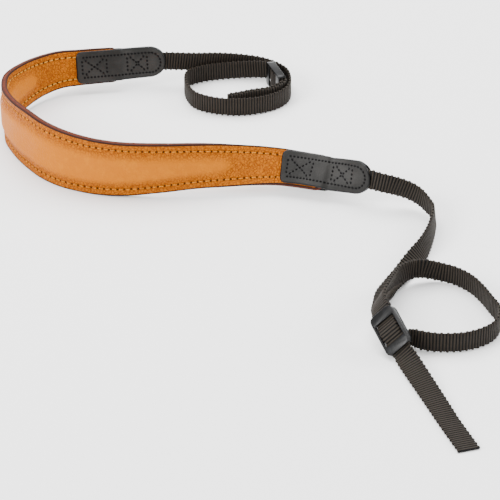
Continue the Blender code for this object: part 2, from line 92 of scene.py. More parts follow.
# Columns: across and deep (shares of the coil), centre height (share of webbingWidth), roll
coilRows = (
    (0.055, 0.850, 1.18, -3),
    (0.331, 0.950, 0.98, 0),
    (0.540, 0.995, 0.80, 0),
    (0.724, 0.992, 0.65, 0),
    (0.858, 0.928, 0.55, 0),
    (0.962, 0.795, 0.50, 0),
    (1.000, 0.611, 0.50, 0),
    (0.994, 0.402, 0.50, 0),
    (0.944, 0.257, 0.50, 0),
    (0.820, 0.114, 0.50, 0),
    (0.630, 0.018, 0.50, 0),
    (0.443, 0.000, 0.50, 0),
    (0.256, 0.052, 0.50, 0),
    (0.107, 0.166, 0.50, 0),
    (0.037, 0.325, 0.50, 0),
    (0.000, 0.566, 0.50, 0),
    (0.030, 0.730, 0.50, 0),
    (0.130, 0.820, 0.50, 0),
    (0.260, 0.880, 0.50, 0),
    (0.430, 0.915, 0.52, 0),
    (0.600, 0.918, 0.57, 0),
    (0.730, 0.900, 0.62, 0),
)
# The same three first columns, for the doubled end after the left slider
leftEndRows = (
    (0.905, 0.335, 0.62),
    (0.850, 0.272, 0.59),
    (0.779, 0.240, 0.55),
    (0.649, 0.211, 0.52),
    (0.536, 0.160, 0.50),
    (0.432, 0.112, 0.50),
)
# Columns: across and forward (shares of the drop), centre height, roll
dropRows = (
    (0.140, 0.013, 1.31, -6),
    (0.297, 0.018, 1.22, -3),
    (0.457, 0.018, 1.07, 0),
    (0.613, 0.025, 0.92, 0),
    (0.763, 0.050, 0.76, 0),
    (0.883, 0.098, 0.62, 3),
    (0.957, 0.149, 0.55, 6),
    (0.915, 0.246, 0.53, 10),
    (0.840, 0.329, 0.51, 15),
    (0.733, 0.409, 0.47, 27),
    (0.590, 0.480, 0.37, 50),
    (0.420, 0.550, 0.18, 77),
    (0.283, 0.603, 0.12, 93),
    (0.117, 0.695, 0.17, 101),
    (0.060, 0.765, 0.30, 113),
    (0.010, 0.830, 0.47, 124),
    (-0.010, 0.900, 0.80, 136),
)
# Columns: along (share of the slot's place), lift (share of webbingThickness)
slotRows = (
    (0.35, 0.60),
    (0.74, 0.34),
    (0.98, -0.35),
    (1.04, -1.30),
)
# Columns: across and deep (shares of the loop), centre height, roll
loopRows = (
    (0.091, -0.007, 0.53, 207),
    (0.133, 0.011, 0.52, 198),
    (0.188, 0.017, 0.53, 188),
    (0.274, -0.013, 0.50, 180),
    (0.408, -0.040, 0.50, 180),
    (0.545, -0.042, 0.50, 180),
    (0.682, -0.022, 0.50, 180),
    (0.825, 0.035, 0.50, 180),
    (0.924, 0.107, 0.50, 180),
    (0.985, 0.206, 0.50, 180),
    (1.000, 0.330, 0.50, 180),
    (0.945, 0.458, 0.50, 180),
    (0.882, 0.598, 0.50, 180),
    (0.802, 0.730, 0.50, 180),
    (0.716, 0.815, 0.50, 180),
    (0.625, 0.875, 0.50, 180),
    (0.535, 0.905, 0.52, 180),
    (0.440, 0.915, 0.60, 180),
    (0.345, 0.905, 0.72, 180),
    (0.250, 0.885, 0.74, 180),
    (0.168, 0.830, 0.80, 178),
    (0.090, 0.740, 0.92, 173),
    (0.032, 0.618, 1.09, 165),
    (-0.045, 0.430, 1.31, 157),
    (-0.095, 0.290, 1.39, 150),
)
# Columns: across and deep (shares of the tail's length), centre height, roll
tailRows = (
    (0.039, -0.088, 0.32, 120),
    (0.100, -0.257, 0.20, 105),
    (0.181, -0.500, 0.11, 95),
    (0.232, -0.660, 0.068, 90),
    (0.265, -0.760, 0.066, 90),
    (0.296, -0.852, 0.066, 90),
    (0.326, -0.942, 0.066, 90),
)


def smoothShare(value):
    value = min(max(value, 0.0), 1.0)
    return value * value * (3.0 - 2.0 * value)


def between(values, knots, index, share):
    # Centripetal curve through a list of vectors or numbers
    last = len(values) - 1
    p1, p2 = values[index], values[index + 1]
    k1, k2 = knots[index], knots[index + 1]
    p0 = values[index - 1] if index > 0 else p1 * 2.0 - p2
    k0 = knots[index - 1] if index > 0 else k1 * 2.0 - k2
    p3 = values[index + 2] if index + 2 <= last else p2 * 2.0 - p1
    k3 = knots[index + 2] if index + 2 <= last else k2 * 2.0 - k1
    k = k1 + (k2 - k1) * share
    a1 = (p0 * (k1 - k) + p1 * (k - k0)) / (k1 - k0)
    a2 = (p1 * (k2 - k) + p2 * (k - k1)) / (k2 - k1)
    a3 = (p2 * (k3 - k) + p3 * (k - k2)) / (k3 - k2)
    b1 = (a1 * (k2 - k) + a2 * (k - k0)) / (k2 - k0)
    b2 = (a2 * (k3 - k) + a3 * (k - k1)) / (k3 - k1)
    return (b1 * (k2 - k) + b2 * (k - k1)) / (k2 - k1)


def rollSide(heading, degrees):
    right = heading.cross(Vector((0.0, 0.0, 1.0))).normalized()
    up = right.cross(heading).normalized()
    angle = math.radians(degrees)
    return up * math.cos(angle) + right * math.sin(angle)


def widthDirections(points, rolls):
    sides = []
    for index, roll in enumerate(rolls):
        before = points[max(index - 1, 0)]
        after = points[min(index + 1, len(points) - 1)]
        given = isinstance(roll, Vector)
        sides.append(roll if given else rollSide((after - before).normalized(), roll))
    return sides


def measuredCurve(points, sides, widths=None):
    # Samples of distance, place, width direction and width
    widths = widths or [strapSizes["webbingWidth"]] * len(points)
    knots = [0.0]
    for before, after in zip(points, points[1:]):
        knots.append(knots[-1] + math.sqrt((after - before).length))
    samples = [(0.0, points[0], sides[0], widths[0])]
    for index in range(len(points) - 1):
        for k in range(1, strapSizes["fineSamples"] + 1):
            share = k / strapSizes["fineSamples"]
            place = between(points, knots, index, share)
            distance = samples[-1][0] + (place - samples[-1][1]).length
            side = between(sides, knots, index, share)
            samples.append((distance, place, side, between(widths, knots, index, share)))
    return samples


class Station:
    # A place on a curve, its directions and the band's width there
    def __init__(self, place, heading, side, width):
        self.place = place
        self.heading = heading
        self.side = side
        self.normal = heading.cross(side)
        self.width = width

    def point(self, across, lift=0.0):
        return self.place + self.side * across + self.normal * lift


def stationAt(curve, distance):
    low, high = 0, len(curve) - 1
    while high - low > 1:
        middle = (low + high) // 2
        if curve[middle][0] <= distance:
            low = middle
        else:
            high = middle
    start, end = curve[low], curve[high]
    t = (distance - start[0]) / (end[0] - start[0])
    place = start[1].lerp(end[1], t)
    side = start[2].lerp(end[2], t)
    before = curve[max(low - 1, 0)][1].lerp(start[1], t)
    after = end[1].lerp(curve[min(high + 1, len(curve) - 1)][1], t)
    heading = (after - before).normalized()
    side = (side - heading * side.dot(heading)).normalized()
    return Station(place, heading, side, start[3] + (end[3] - start[3]) * t)


def buildSpine():
    plan = [
        Vector((strapSizes["padAcross"] * row[0], strapSizes["padDeep"] * row[1], 0.0))
        for row in spineRows
    ]
    points = []
    for index, row in enumerate(spineRows):
        foot, lean, width = row[2:]
        before = plan[max(index - 1, 0)]
        after = plan[min(index + 1, len(plan) - 1)]
        side = rollSide((after - before).normalized(), lean)
        base = plan[index] + Vector((0.0, 0.0, strapSizes["padWidth"] * foot))
        points.append(base + side * (strapSizes["padWidth"] * width / 2))
    sides = widthDirections(points, [row[3] for row in spineRows])
    return measuredCurve(points, sides, [strapSizes["padWidth"] * row[4] for row in spineRows])


sliderSizes = {
    "length": 0.0205,
    "endBar": 0.0046,
    "middleBar": 0.0030,
    "clearance": 0.0003,
    "weave": 0.0008,
    "endBarPassed": 0.8,      # share of the end bar at which the webbing changes height
    "leftPlace": (0.869, 0.622, 0.64),
    "leftHeading": -72.0,
    "rightPlace": (0.117, 1.079, 0.915),
    "rightHeading": -64.0,
    "rightDip": 24.8,
    "rightRoll": 143.0,
}


def sliderAxes(headingDegrees, dipDegrees, rollDegrees):
    heading, dip = math.radians(headingDegrees), math.radians(dipDegrees)
    level = math.cos(dip)
    along = Vector((math.cos(heading) * level, math.sin(heading) * level, -math.sin(dip)))
    side = rollSide(along, rollDegrees)
    return along, side, along.cross(side)


def sliderPassage():
    weave = sliderSizes["weave"]
    mouth = sliderSizes["length"] / 2 + sliderSizes["clearance"]
    reach = sliderSizes["length"] / 2 - sliderSizes["endBar"] * sliderSizes["endBarPassed"]
    return ((-mouth, -weave), (-reach, -weave), (0.0, weave), (reach, -weave), (mouth, -weave))


def webbingStart(spine, endDistance, direction):
    points, rolls = [], []
    for share in strapSizes["insertShares"]:
        here = stationAt(spine, endDistance - direction * strapSizes["webbingInsert"] * share)
        points.append(here.place)
        rolls.append(here.side)
    return points, rolls


routeSizes = {
    "coilWidth": 0.0535,
    "coilDeep": 0.0455,
    "coilOffsetAcross": 0.0104,
    "coilOffsetDeep": 0.0360,
    "dropAcross": 0.0300,
    "dropDeep": 0.1190,
    "loopWidth": 0.0483,
    "loopDeep": 0.0625,
    "tailLength": 0.0740,
}


def leftRoute(spine):
    points, rolls = webbingStart(spine, 0.0, -1.0)
    corner = Vector((points[-1].x + routeSizes["coilOffsetAcross"], 0.0, 0.0))
    corner.y = points[-1].y - routeSizes["coilOffsetDeep"]

    def spot(across, deep, height):
        coil = (routeSizes["coilWidth"] * across, routeSizes["coilDeep"] * deep)
        return corner + Vector((*coil, strapSizes["webbingWidth"] * height))

    for across, deep, height, roll in coilRows:
        points.append(spot(across, deep, height))
        rolls.append(roll)
    along, _, normal = sliderAxes(sliderSizes["leftHeading"], 0.0, 0.0)
    centre = spot(*sliderSizes["leftPlace"])
    layer = (strapSizes["webbingThickness"] + strapSizes["layerGap"]) / 2
    upright = Vector((0.0, 0.0, 1.0))
    for lengthwise, lift in sliderPassage():
        points.append(centre + along * lengthwise + normal * (lift - layer))
    turn = [spot(*row) for row in leftEndRows]
    back = []
    for index, place in enumerate(turn):
        heading = turn[min(index + 1, len(turn) - 1)] - turn[max(index - 1, 0)]
        outward = heading.normalized().cross(upright)
        points.append(place - outward * layer)
        back.append(place + outward * layer)
    lastHeading = (turn[-1] - turn[-2]).normalized()
    outward = lastHeading.cross(upright)
    for degrees in range(-60, 61, 30):
        angle = math.radians(degrees)
        bend = lastHeading * math.cos(angle) + outward * math.sin(angle)
        points.append(turn[-1] + bend * layer)
    points += reversed(back)
    for lengthwise, lift in reversed(sliderPassage()[1:]):
        points.append(centre + along * lengthwise + normal * (lift + layer))
    rolls += [upright] * (len(points) - len(rolls))
    return measuredCurve(points, widthDirections(points, rolls))


def rightRoute(spine):
    points, rolls = webbingStart(spine, spine[-1][0], 1.0)
    start = Vector((points[-1].x, points[-1].y, 0.0))

    def dropSpot(across, forward, height):
        drop = (routeSizes["dropAcross"] * across, -routeSizes["dropDeep"] * forward)
        return start + Vector((*drop, strapSizes["webbingWidth"] * height))

    for across, forward, height, roll in dropRows:
        points.append(dropSpot(across, forward, height))
        rolls.append(roll)
    centre = dropSpot(*sliderSizes["rightPlace"])
    along, side, normal = sliderAxes(
        sliderSizes["rightHeading"], sliderSizes["rightDip"], sliderSizes["rightRoll"]
    )
    normal = -normal
    thickness = strapSizes["webbingThickness"]
    layer = (thickness + strapSizes["layerGap"]) / 2
    slot = (sliderSizes["middleBar"] / 2 + sliderSizes["length"] / 2 - sliderSizes["endBar"]) / 2
    underRows = list(sliderPassage()[:3])
    underRows += [(slot * share, thickness * lift) for share, lift in slotRows]
    for lengthwise, lift in underRows:
        points.append(centre + along * lengthwise + normal * (lift - layer))
        rolls.append(side)
    for across, deep, height, roll in loopRows:
        place = Vector((centre.x, centre.y, strapSizes["webbingWidth"] * height))
        loop = (routeSizes["loopWidth"] * across, routeSizes["loopDeep"] * deep, 0.0)
        points.append(place + Vector(loop))
        rolls.append(roll)
    for lengthwise, lift in sliderPassage():
        points.append(centre + along * lengthwise + normal * (lift + layer))
        rolls.append(side)
    lowerEnd = centre + along * (sliderSizes["length"] / 2)
    for across, deep, height, roll in tailRows:
        shift = Vector((routeSizes["tailLength"] * across, routeSizes["tailLength"] * deep, 0.0))
        place = Vector((lowerEnd.x, lowerEnd.y, strapSizes["webbingWidth"] * height))
        points.append(place + shift)
        rolls.append(roll)
    return measuredCurve(points, widthDirections(points, rolls))


def bandCorners(curve):
    # The four corners of the flat band at each sample
    out = strapSizes["webbingThickness"] / 2
    stations = [stationAt(curve, sample[0]) for sample in curve]
    return [here.point(across, lift) for here in stations
            for across in (-here.width / 2, here.width / 2) for lift in (-out, out)]


def moved(curve, shift):
    return [(distance, place + shift, side, width) for distance, place, side, width in curve]


# The right webbing's outermost corners tie the plan to the CAD frame
planSpine = buildSpine()
planRight = rightRoute(planSpine)
planCorners = bandCorners(planRight)
cadLow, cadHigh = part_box("right_webbing")
planShift = Vector((
    cadHigh[0] - max(corner.x for corner in planCorners),
    cadLow[1] - min(corner.y for corner in planCorners),
    cadLow[2] - min(corner.z for corner in planCorners),
))
spine = moved(planSpine, planShift)
spineTotal = spine[-1][0]
leftCurve = moved(leftRoute(planSpine), planShift)
rightCurve = moved(planRight, planShift)
print("routes: pad and tabs", round(spineTotal, 4), "left", round(leftCurve[-1][0], 4),
      "right", round(rightCurve[-1][0], 4), "shift", [round(x, 5) for x in planShift])


# Shader helpers: a wrapped socket takes part in plain expressions

class Value:
    def __init__(self, look, socket):
        self.look = look
        self.socket = socket

    def __add__(self, other):
        return self.look.maths("ADD", self, other)

    def __radd__(self, other):
        return self.look.maths("ADD", other, self)

    def __sub__(self, other):
        return self.look.maths("SUBTRACT", self, other)

    def __rsub__(self, other):
        return self.look.maths("SUBTRACT", other, self)

    def __mul__(self, other):
        return self.look.maths("MULTIPLY", self, other)

    def __rmul__(self, other):
        return self.look.maths("MULTIPLY", other, self)


class Look:
    # One material with a Principled shader

    def __init__(self, name):
        self.material = bpy.data.materials.new(name)
        self.material.use_nodes = True
        self.tree = self.material.node_tree
        self.tree.nodes.clear()
        self.place = self.out("ShaderNodeTexCoord", "Object")

    def node(self, kind, settings=None, sockets=None):
        made = self.tree.nodes.new(kind)
        for key, value in (settings or {}).items():
            setattr(made, key, value)
        for key, value in (sockets or {}).items():
            if isinstance(value, Value):
                self.tree.links.new(value.socket, made.inputs[key])
            else:
                made.inputs[key].default_value = value
        return made

    def out(self, kind, output, settings=None, sockets=None):
        return Value(self, self.node(kind, settings, sockets).outputs[output])

    def maths(self, operation, first, second=0.0, clamp=False):
        settings = {"operation": operation, "use_clamp": clamp}
        return self.out("ShaderNodeMath", 0, settings, {0: first, 1: second})

    def clamped(self, value):
        return self.maths("ADD", value, 0.0, clamp=True)

    def attribute(self, name):
        return self.out("ShaderNodeAttribute", "Fac", {"attribute_name": name})

    def stretched(self, scale):
        return self.out("ShaderNodeMapping", 0, {}, {"Vector": self.place, "Scale": scale})

    def noise(self, scale, detail, roughness, where=None):
        sockets = {"Vector": where or self.place, "Scale": scale, "Detail": detail,
                   "Roughness": roughness}
        return self.out("ShaderNodeTexNoise", 0, {}, sockets)

    def cells(self, scale, feature="SMOOTH_F1"):
        sockets = {"Vector": self.place, "Scale": scale}
        return self.out("ShaderNodeTexVoronoi", "Distance", {"feature": feature}, sockets)

    def spread(self, value, low, high):
        # 0 below low and 1 above high, eased
        settings = {"interpolation_type": "SMOOTHSTEP"}
        sockets = {"Value": value, "From Min": low, "From Max": high}
        return self.out("ShaderNodeMapRange", 0, settings, sockets)

    def mix(self, share, first, second):
        first = first if isinstance(first, Value) else (*first, 1.0)
        second = second if isinstance(second, Value) else (*second, 1.0)
        settings = {"data_type": "RGBA"}
        return self.out("ShaderNodeMix", 2, settings, {0: share, 6: first, 7: second})

    def bump(self, height, distance, strength):
        # height runs from 0 to 1 and distance is its real depth
        sockets = {"Height": height, "Distance": distance, "Strength": strength}
        return self.out("ShaderNodeBump", 0, {}, sockets)

    def finish(self, colour, roughness, specular, normal=None):
        sockets = {"Base Color": colour, "Roughness": roughness, "Specular IOR Level": specular}
        if normal:
            sockets["Normal"] = normal
        shader = self.out("ShaderNodeBsdfPrincipled", 0, {}, sockets)
        self.node("ShaderNodeOutputMaterial", {}, {"Surface": shader})
        return self.material


leatherLook = {
    "deep": (0.320, 0.084, 0.0006),
    "main": (0.425, 0.124, 0.0008),
    "light": (0.520, 0.175, 0.0020),
    # Painted shade colour for the grain creases
    "creaseShade": (0.170, 0.034, 0.0006),
    # Painted shade colour for the needle holes
    "hole": (0.035, 0.008, 0.0010),
    "outerPaleness": 0.02,
    "innerPaleness": 0.06,
    "cloudScale": 30.0,
    "patchScale": 260.0,
    "poreScale": 1700.0,
    "grainScale": 680.0,
    "softScale": 900.0,
    "wrinkleScale": 170.0,
    "wrinkleStretch": (1.0, 1.0, 2.6),
    "seamReach": (0.0013, 0.0002),
    "holeReach": (0.00075, 0.00030),
    "depth": 0.00042,
    "specular": 0.07,
}


def goldenLeather(name, paleness):
    look = Look(name)
    fill = look.attribute("fill")
    fromRow = look.attribute("fromRow")
    turn = look.attribute("stitchTurn")
    cloud = look.noise(leatherLook["cloudScale"], 3.0, 0.5)
    patch = look.noise(leatherLook["patchScale"], 4.0, 0.6)
    pores = look.cells(leatherLook["poreScale"])
    grain = look.cells(leatherLook["grainScale"], "DISTANCE_TO_EDGE")
    soft = look.noise(leatherLook["softScale"], 3.0, 0.6)
    stretched = look.stretched(leatherLook["wrinkleStretch"])
    wrinkle = look.noise(leatherLook["wrinkleScale"], 5.0, 0.62, stretched)
    tone = look.clamped(fill * 0.62 + cloud * 0.45 + patch * 0.35 - 0.12)
    colour = look.mix(tone, leatherLook["deep"], leatherLook["main"])
    pulled = look.clamped(look.spread(patch, 0.50, 0.78) * (0.10 + 0.30 * fill) + paleness)
    colour = look.mix(pulled, colour, leatherLook["light"])
    # Painted shade: the grain creases are darkened, most where the leather lies flat and unpadded.
    creases = look.spread(grain, 0.24, 0.02) * look.spread(soft, 0.28, 0.60) * (0.84 - 0.76 * fill)
    colour = look.mix(look.clamped(creases), colour, leatherLook["creaseShade"])
    # Painted shade: the leather darkens towards each stitch row, where its face dips into the row's
    # groove.
    seamShade = look.spread(fromRow, *leatherLook["seamReach"]) * 0.18
    colour = look.mix(seamShade, colour, leatherLook["deep"])
    # Painted shade: the needle holes at the stitch ends are darkened almost to black; the bump also sinks
    # them.
    ends = look.spread(look.maths("COSINE", turn * (2.0 * math.pi)), 0.25, 0.80)
    hole = ends * look.spread(fromRow, *leatherLook["holeReach"])
    colour = look.mix(hole * 0.9, colour, leatherLook["hole"])
    flatGrain = look.spread(grain, 0.0, 0.24) * (1.0 - fill * 0.70)
    height = flatGrain * 0.66 + wrinkle * (0.9 - 0.6 * fill) + pores * 0.16 + soft * 0.14
    normal = look.bump(height - hole * 1.2, leatherLook["depth"], 0.9)
    roughness = 0.40 + patch * 0.14 + creases * 0.25
    return look.finish(colour, roughness, leatherLook["specular"], normal)


blackLeatherLook = {
    "deep": (0.0085, 0.0080, 0.0072),
    "main": (0.0185, 0.0172, 0.0158),
    # Painted highlight colour for the pebble tops
    "wornAndSheen": (0.0260, 0.0245, 0.0225),
    # Painted shade colour for the stitch hollows
    "hollowShade": (0.0004, 0.0004, 0.0004),
    "edge": (0.0030, 0.0030, 0.0030),
    "cloudScale": 90.0,
    "pebbleScale": 1500.0,
    "fineScale": 3200.0,
    "paintedReach": (0.0007, 0.0003),
    "hollowReach": (0.00085, 0.00050),
    "depth": 0.00016,
    "specular": 0.20,
}


def blackLeather(name):
    look = Look(name)
    fromEdge = look.attribute("fromEdge")
    fromStitch = look.attribute("fromStitch")
    cloud = look.noise(blackLeatherLook["cloudScale"], 3.0, 0.5)
    pebble = look.cells(blackLeatherLook["pebbleScale"])
    fine = look.noise(blackLeatherLook["fineScale"], 2.0, 0.5)
    tone = look.spread(cloud, 0.32, 0.70)
    colour = look.mix(tone, blackLeatherLook["deep"], blackLeatherLook["main"])
    # Painted highlight: the pebble tops are lightened towards grey, patchy with the random cloud tone.
    top = look.spread(pebble, 0.45, 0.12) * look.spread(cloud, 0.40, 0.75) * 0.30
    colour = look.mix(top, colour, blackLeatherLook["wornAndSheen"])
    painted = look.spread(fromEdge, *blackLeatherLook["paintedReach"])
    colour = look.mix(painted, colour, blackLeatherLook["edge"])
    # Painted shade: the leather is darkened almost to black round each stitch, in the hollows the stitches
    # press in.
    hollowShade = look.spread(fromStitch, *blackLeatherLook["hollowReach"])
    colour = look.mix(hollowShade * 0.95, colour, blackLeatherLook["hollowShade"])
    height = (1.0 - pebble) * (1.0 - painted) * 0.8 + fine * 0.12 + cloud * 0.2
    roughness = 0.46 + fine * 0.12 - painted * 0.16
    normal = look.bump(height, blackLeatherLook["depth"], 0.8)
    return look.finish(colour, roughness, blackLeatherLook["specular"], normal)


edgeLook = {
    "rim": (0.010, 0.0015, 0.0004),
    "main": (0.042, 0.0065, 0.0012),
    "middle": (0.100, 0.0160, 0.0026),
    "streakScale": 60.0,
    "streakStretch": (9.0, 9.0, 1.0),
    "fineScale": 1900.0,
    "depth": 0.00010,
    "specular": 0.14,
}


def paintedEdge(name):
    look = Look(name)
    fromMiddle = look.maths("ABSOLUTE", look.attribute("edgeShare"))
    stretched = look.stretched(edgeLook["streakStretch"])
    streak = look.noise(edgeLook["streakScale"], 4.0, 0.6, stretched)
    fine = look.noise(edgeLook["fineScale"], 3.0, 0.6)
    middle = look.spread(fromMiddle, 0.62, 0.10)
    rim = look.spread(fromMiddle, 0.55, 0.95)
    colour = look.mix(middle * look.spread(streak, 0.30, 0.62), edgeLook["main"], edgeLook["middle"])
    colour = look.mix(rim * 0.85, colour, edgeLook["rim"])
    height = fine * 0.6 + streak * 0.8 + middle * 0.3
    normal = look.bump(height, edgeLook["depth"], 0.8)
    return look.finish(colour, 0.50 + fine * 0.24, edgeLook["specular"], normal)


nylonLook = {
    # deep is the painted shade at the bottom of the grooves between ribs
    "deep": (0.0002, 0.0001, 0.0001),
    "main": (0.0230, 0.0170, 0.0115),
    # Colour of the painted sheen on the rib tops
    "wornAndSheen": (0.0640, 0.0500, 0.0380),
    "threads": 3.1,           # in each millimetre of width
    "fuzzScale": 2600.0,
    "cloudScale": 110.0,
    "depth": 0.00009,
    "specular": 0.14,
}


def nylon(name):
    look = Look(name)
    across = look.attribute("ribAcross")
    lift = look.attribute("ribLift")
    waves = look.maths("SINE", across * (nylonLook["threads"] * 2.0 * math.pi))
    threads = waves * 0.5 + 0.5
    fuzz = look.noise(nylonLook["fuzzScale"], 3.0, 0.65)
    cloud = look.noise(nylonLook["cloudScale"], 3.0, 0.5)
    # Painted shade: the colour darkens from each rib's top down into the grooves between ribs and between
    # yarns; the fuzz adds the yarn's own uneven tone.
    tone = look.clamped(look.spread(lift, 0.74, 1.0) * (0.60 + 0.40 * threads + fuzz * 0.2))
    colour = look.mix(tone, nylonLook["deep"], nylonLook["main"])
    # Painted sheen: light fuzzy patches on the rib tops.
    shine = look.clamped(look.spread(fuzz, 0.52, 0.75) * tone * (0.35 + cloud * 0.5))
    colour = look.mix(shine, colour, nylonLook["wornAndSheen"])
    height = threads * 0.55 + fuzz * 0.6
    normal = look.bump(height, nylonLook["depth"], 0.8)
    return look.finish(colour, 0.42 + fuzz * 0.22, nylonLook["specular"], normal)


threadLook = {
    # For each thread: dark, light and specular
    "brown": ((0.340, 0.098, 0.0020), (0.560, 0.205, 0.0080), 0.2),
    "cream": ((0.42, 0.15, 0.008), (0.58, 0.29, 0.040), 0.2),
    "black": ((0.0006, 0.0006, 0.0006), (0.0030, 0.0028, 0.0026), 0.05),
    "plyScale": 1500.0,
    "fuzzScale": 5200.0,
    "depth": 0.00008,
}


def plainThread(shade):
    dark, light, specular = threadLook[shade]
    look = Look(shade + "Thread")
    ply = look.noise(threadLook["plyScale"], 2.0, 0.5)
    fuzz = look.noise(threadLook["fuzzScale"], 2.0, 0.6)
    colour = look.mix(look.spread(ply, 0.35, 0.65), dark, light)
    normal = look.bump(ply * 0.6 + fuzz * 0.4, threadLook["depth"], 0.8)
    return look.finish(colour, 0.52 + fuzz * 0.18, specular, normal)


lacquerLook = {
    "deep": (0.002, 0.002, 0.002),
    "wornAndSheen": (0.006, 0.006, 0.007),
    "wearScale": 420.0,
    "scratchScale": 900.0,
    "scratchStretch": (1.0, 6.0, 1.0),
    "depth": 0.00002,
    "specular": 0.20,
}


def lacquer(name):
    look = Look(name)
    wear = look.noise(lacquerLook["wearScale"], 4.0, 0.6)
    stretched = look.stretched(lacquerLook["scratchStretch"])
    scratch = look.noise(lacquerLook["scratchScale"], 2.0, 0.5, stretched)
    colour = look.mix(look.spread(wear, 0.50, 0.75), lacquerLook["deep"], lacquerLook["wornAndSheen"])
    normal = look.bump(wear * 0.6 + scratch * 0.4, lacquerLook["depth"], 0.6)
    return look.finish(colour, 0.16 + wear * 0.12, lacquerLook["specular"], normal)


goldenOuter = goldenLeather("goldenLeatherOuter", leatherLook["outerPaleness"])
goldenInner = goldenLeather("goldenLeatherInner", leatherLook["innerPaleness"])
blackTabs = blackLeather("blackLeather")
brownEdge = paintedEdge("paintedEdge")
blackNylon = nylon("blackNylon")
blackLacquer = lacquer("blackLacquer")
brownThread = plainThread("brown")
creamThread = plainThread("cream")
blackThread = plainThread("black")
print("materials ready")


# Mesh and Geometry Nodes helpers

def linked(name, data):
    made = bpy.data.objects.new(name, data)
    bpy.context.scene.collection.objects.link(made)
    return made


def finishedMesh(made):
    # The mesh that the modifiers give; they are then removed
    bpy.context.view_layer.update()
    mesh = bpy.data.meshes.new_from_object(made.evaluated_get(bpy.context.evaluated_depsgraph_get()))
    made.modifiers.clear()
    mesh.shade_smooth()
    return mesh


def meshObject(name, verts, faces, material, attributes=None):
    mesh = bpy.data.meshes.new(name)
    mesh.from_pydata(verts, [], faces)
    for key, values in (attributes or {}).items():
        kind = "FLOAT_VECTOR" if isinstance(values[0], Vector) else "FLOAT"
        layer = mesh.attributes.new(key, kind, "POINT")
        for index, value in enumerate(values):
            if kind == "FLOAT":
                layer.data[index].value = value
            else:
                layer.data[index].vector = value
    if faces:
        shape = bmesh.new()
        shape.from_mesh(mesh)
        bmesh.ops.recalc_face_normals(shape, faces=shape.faces)
        shape.to_mesh(mesh)
        shape.free()
        mesh.shade_smooth()
    if material:
        mesh.materials.append(material)
    return linked(name, mesh)


def ringedSolid(name, rings, material, attributes=None, loop=False):
    # Closed solid through rings of equally many points; loop joins the last ring to the first
    verts = [point for ring in rings for point in ring]
    size, count = len(rings[0]), len(rings)
    faces = []
    for row in range(count if loop else count - 1):
        low, high = row * size, (row + 1) % count * size
        for k in range(size):
            other = (k + 1) % size
            faces.append((low + k, low + other, high + other, high + k))
    if not loop:
        faces.append(tuple(reversed(range(size))))
        faces.append(tuple(range((count - 1) * size, count * size)))
    return meshObject(name, verts, faces, material, attributes)


def placeCopiesTree():
    # Turns a copy of an object to each point's own directions; every second one may be narrower
    tree = bpy.data.node_groups.new("placeCopies", "GeometryNodeTree")
    face = tree.interface
    face.new_socket("Geometry", in_out="INPUT", socket_type="NodeSocketGeometry")
    for name, kind in (("Copy", "Object"), ("Second Width", "Float"), ("Wobble", "Float"),
                       ("Size Spread", "Float"), ("Seed", "Int"), ("Material", "Material")):
        face.new_socket(name, in_out="INPUT", socket_type="NodeSocket" + kind)
    face.new_socket("Geometry", in_out="OUTPUT", socket_type="NodeSocketGeometry")

    def add(kind, settings=None, sockets=None):
        made = tree.nodes.new(kind)
        for key, value in (settings or {}).items():
            setattr(made, key, value)
        for key, value in (sockets or {}).items():
            if isinstance(value, bpy.types.NodeSocket):
                tree.links.new(value, made.inputs[key])
            else:
                made.inputs[key].default_value = value
        return made

    def maths(operation, *values):
        return add("ShaderNodeMath", {"operation": operation}, dict(enumerate(values))).outputs[0]

    def vectorAttribute(name):
        settings = {"data_type": "FLOAT_VECTOR"}
        return add("GeometryNodeInputNamedAttribute", settings, {"Name": name}).outputs[0]

    given = add("NodeGroupInput").outputs

    def randomBetween(low, high):
        sockets = {2: low, 3: high, "Seed": given["Seed"]}
        return add("FunctionNodeRandomValue", {"data_type": "FLOAT"}, sockets).outputs[1]

    directions = {"Primary Axis": vectorAttribute("along"), "Secondary Axis": vectorAttribute("up")}
    turn = add("FunctionNodeAxesToRotation", {"primary_axis": "X", "secondary_axis": "Z"}, directions)
    swing = randomBetween(maths("MULTIPLY", given["Wobble"], -1.0), given["Wobble"])
    swung = add("FunctionNodeAxisAngleToRotation", {}, {"Axis": (0.0, 0.0, 1.0), "Angle": swing})
    turned = add("FunctionNodeRotateRotation", {"rotation_space": "LOCAL"},
                 {"Rotation": turn.outputs[0], "Rotate By": swung.outputs[0]}).outputs[0]
    second = maths("MODULO", add("GeometryNodeInputIndex").outputs[0], 2.0)
    narrow = maths("MULTIPLY_ADD", second, given["Second Width"], 1.0)
    size = randomBetween(maths("SUBTRACT", 1.0, given["Size Spread"]),
                         maths("ADD", 1.0, given["Size Spread"]))
    scale = add("ShaderNodeCombineXYZ", {}, {0: size, 1: narrow, 2: size}).outputs[0]
    source = add("GeometryNodeObjectInfo", {}, {"Object": given["Copy"]}).outputs["Geometry"]
    copies = add("GeometryNodeInstanceOnPoints", {},
                 {"Points": given["Geometry"], "Instance": source, "Rotation": turned,
                  "Scale": scale}).outputs[0]
    real = add("GeometryNodeRealizeInstances", {}, {0: copies}).outputs[0]
    done = add("GeometryNodeSetMaterial", {}, {0: real, "Material": given["Material"]}).outputs[0]
    add("NodeGroupOutput", {}, {0: done})
    return tree


copyTree = placeCopiesTree()


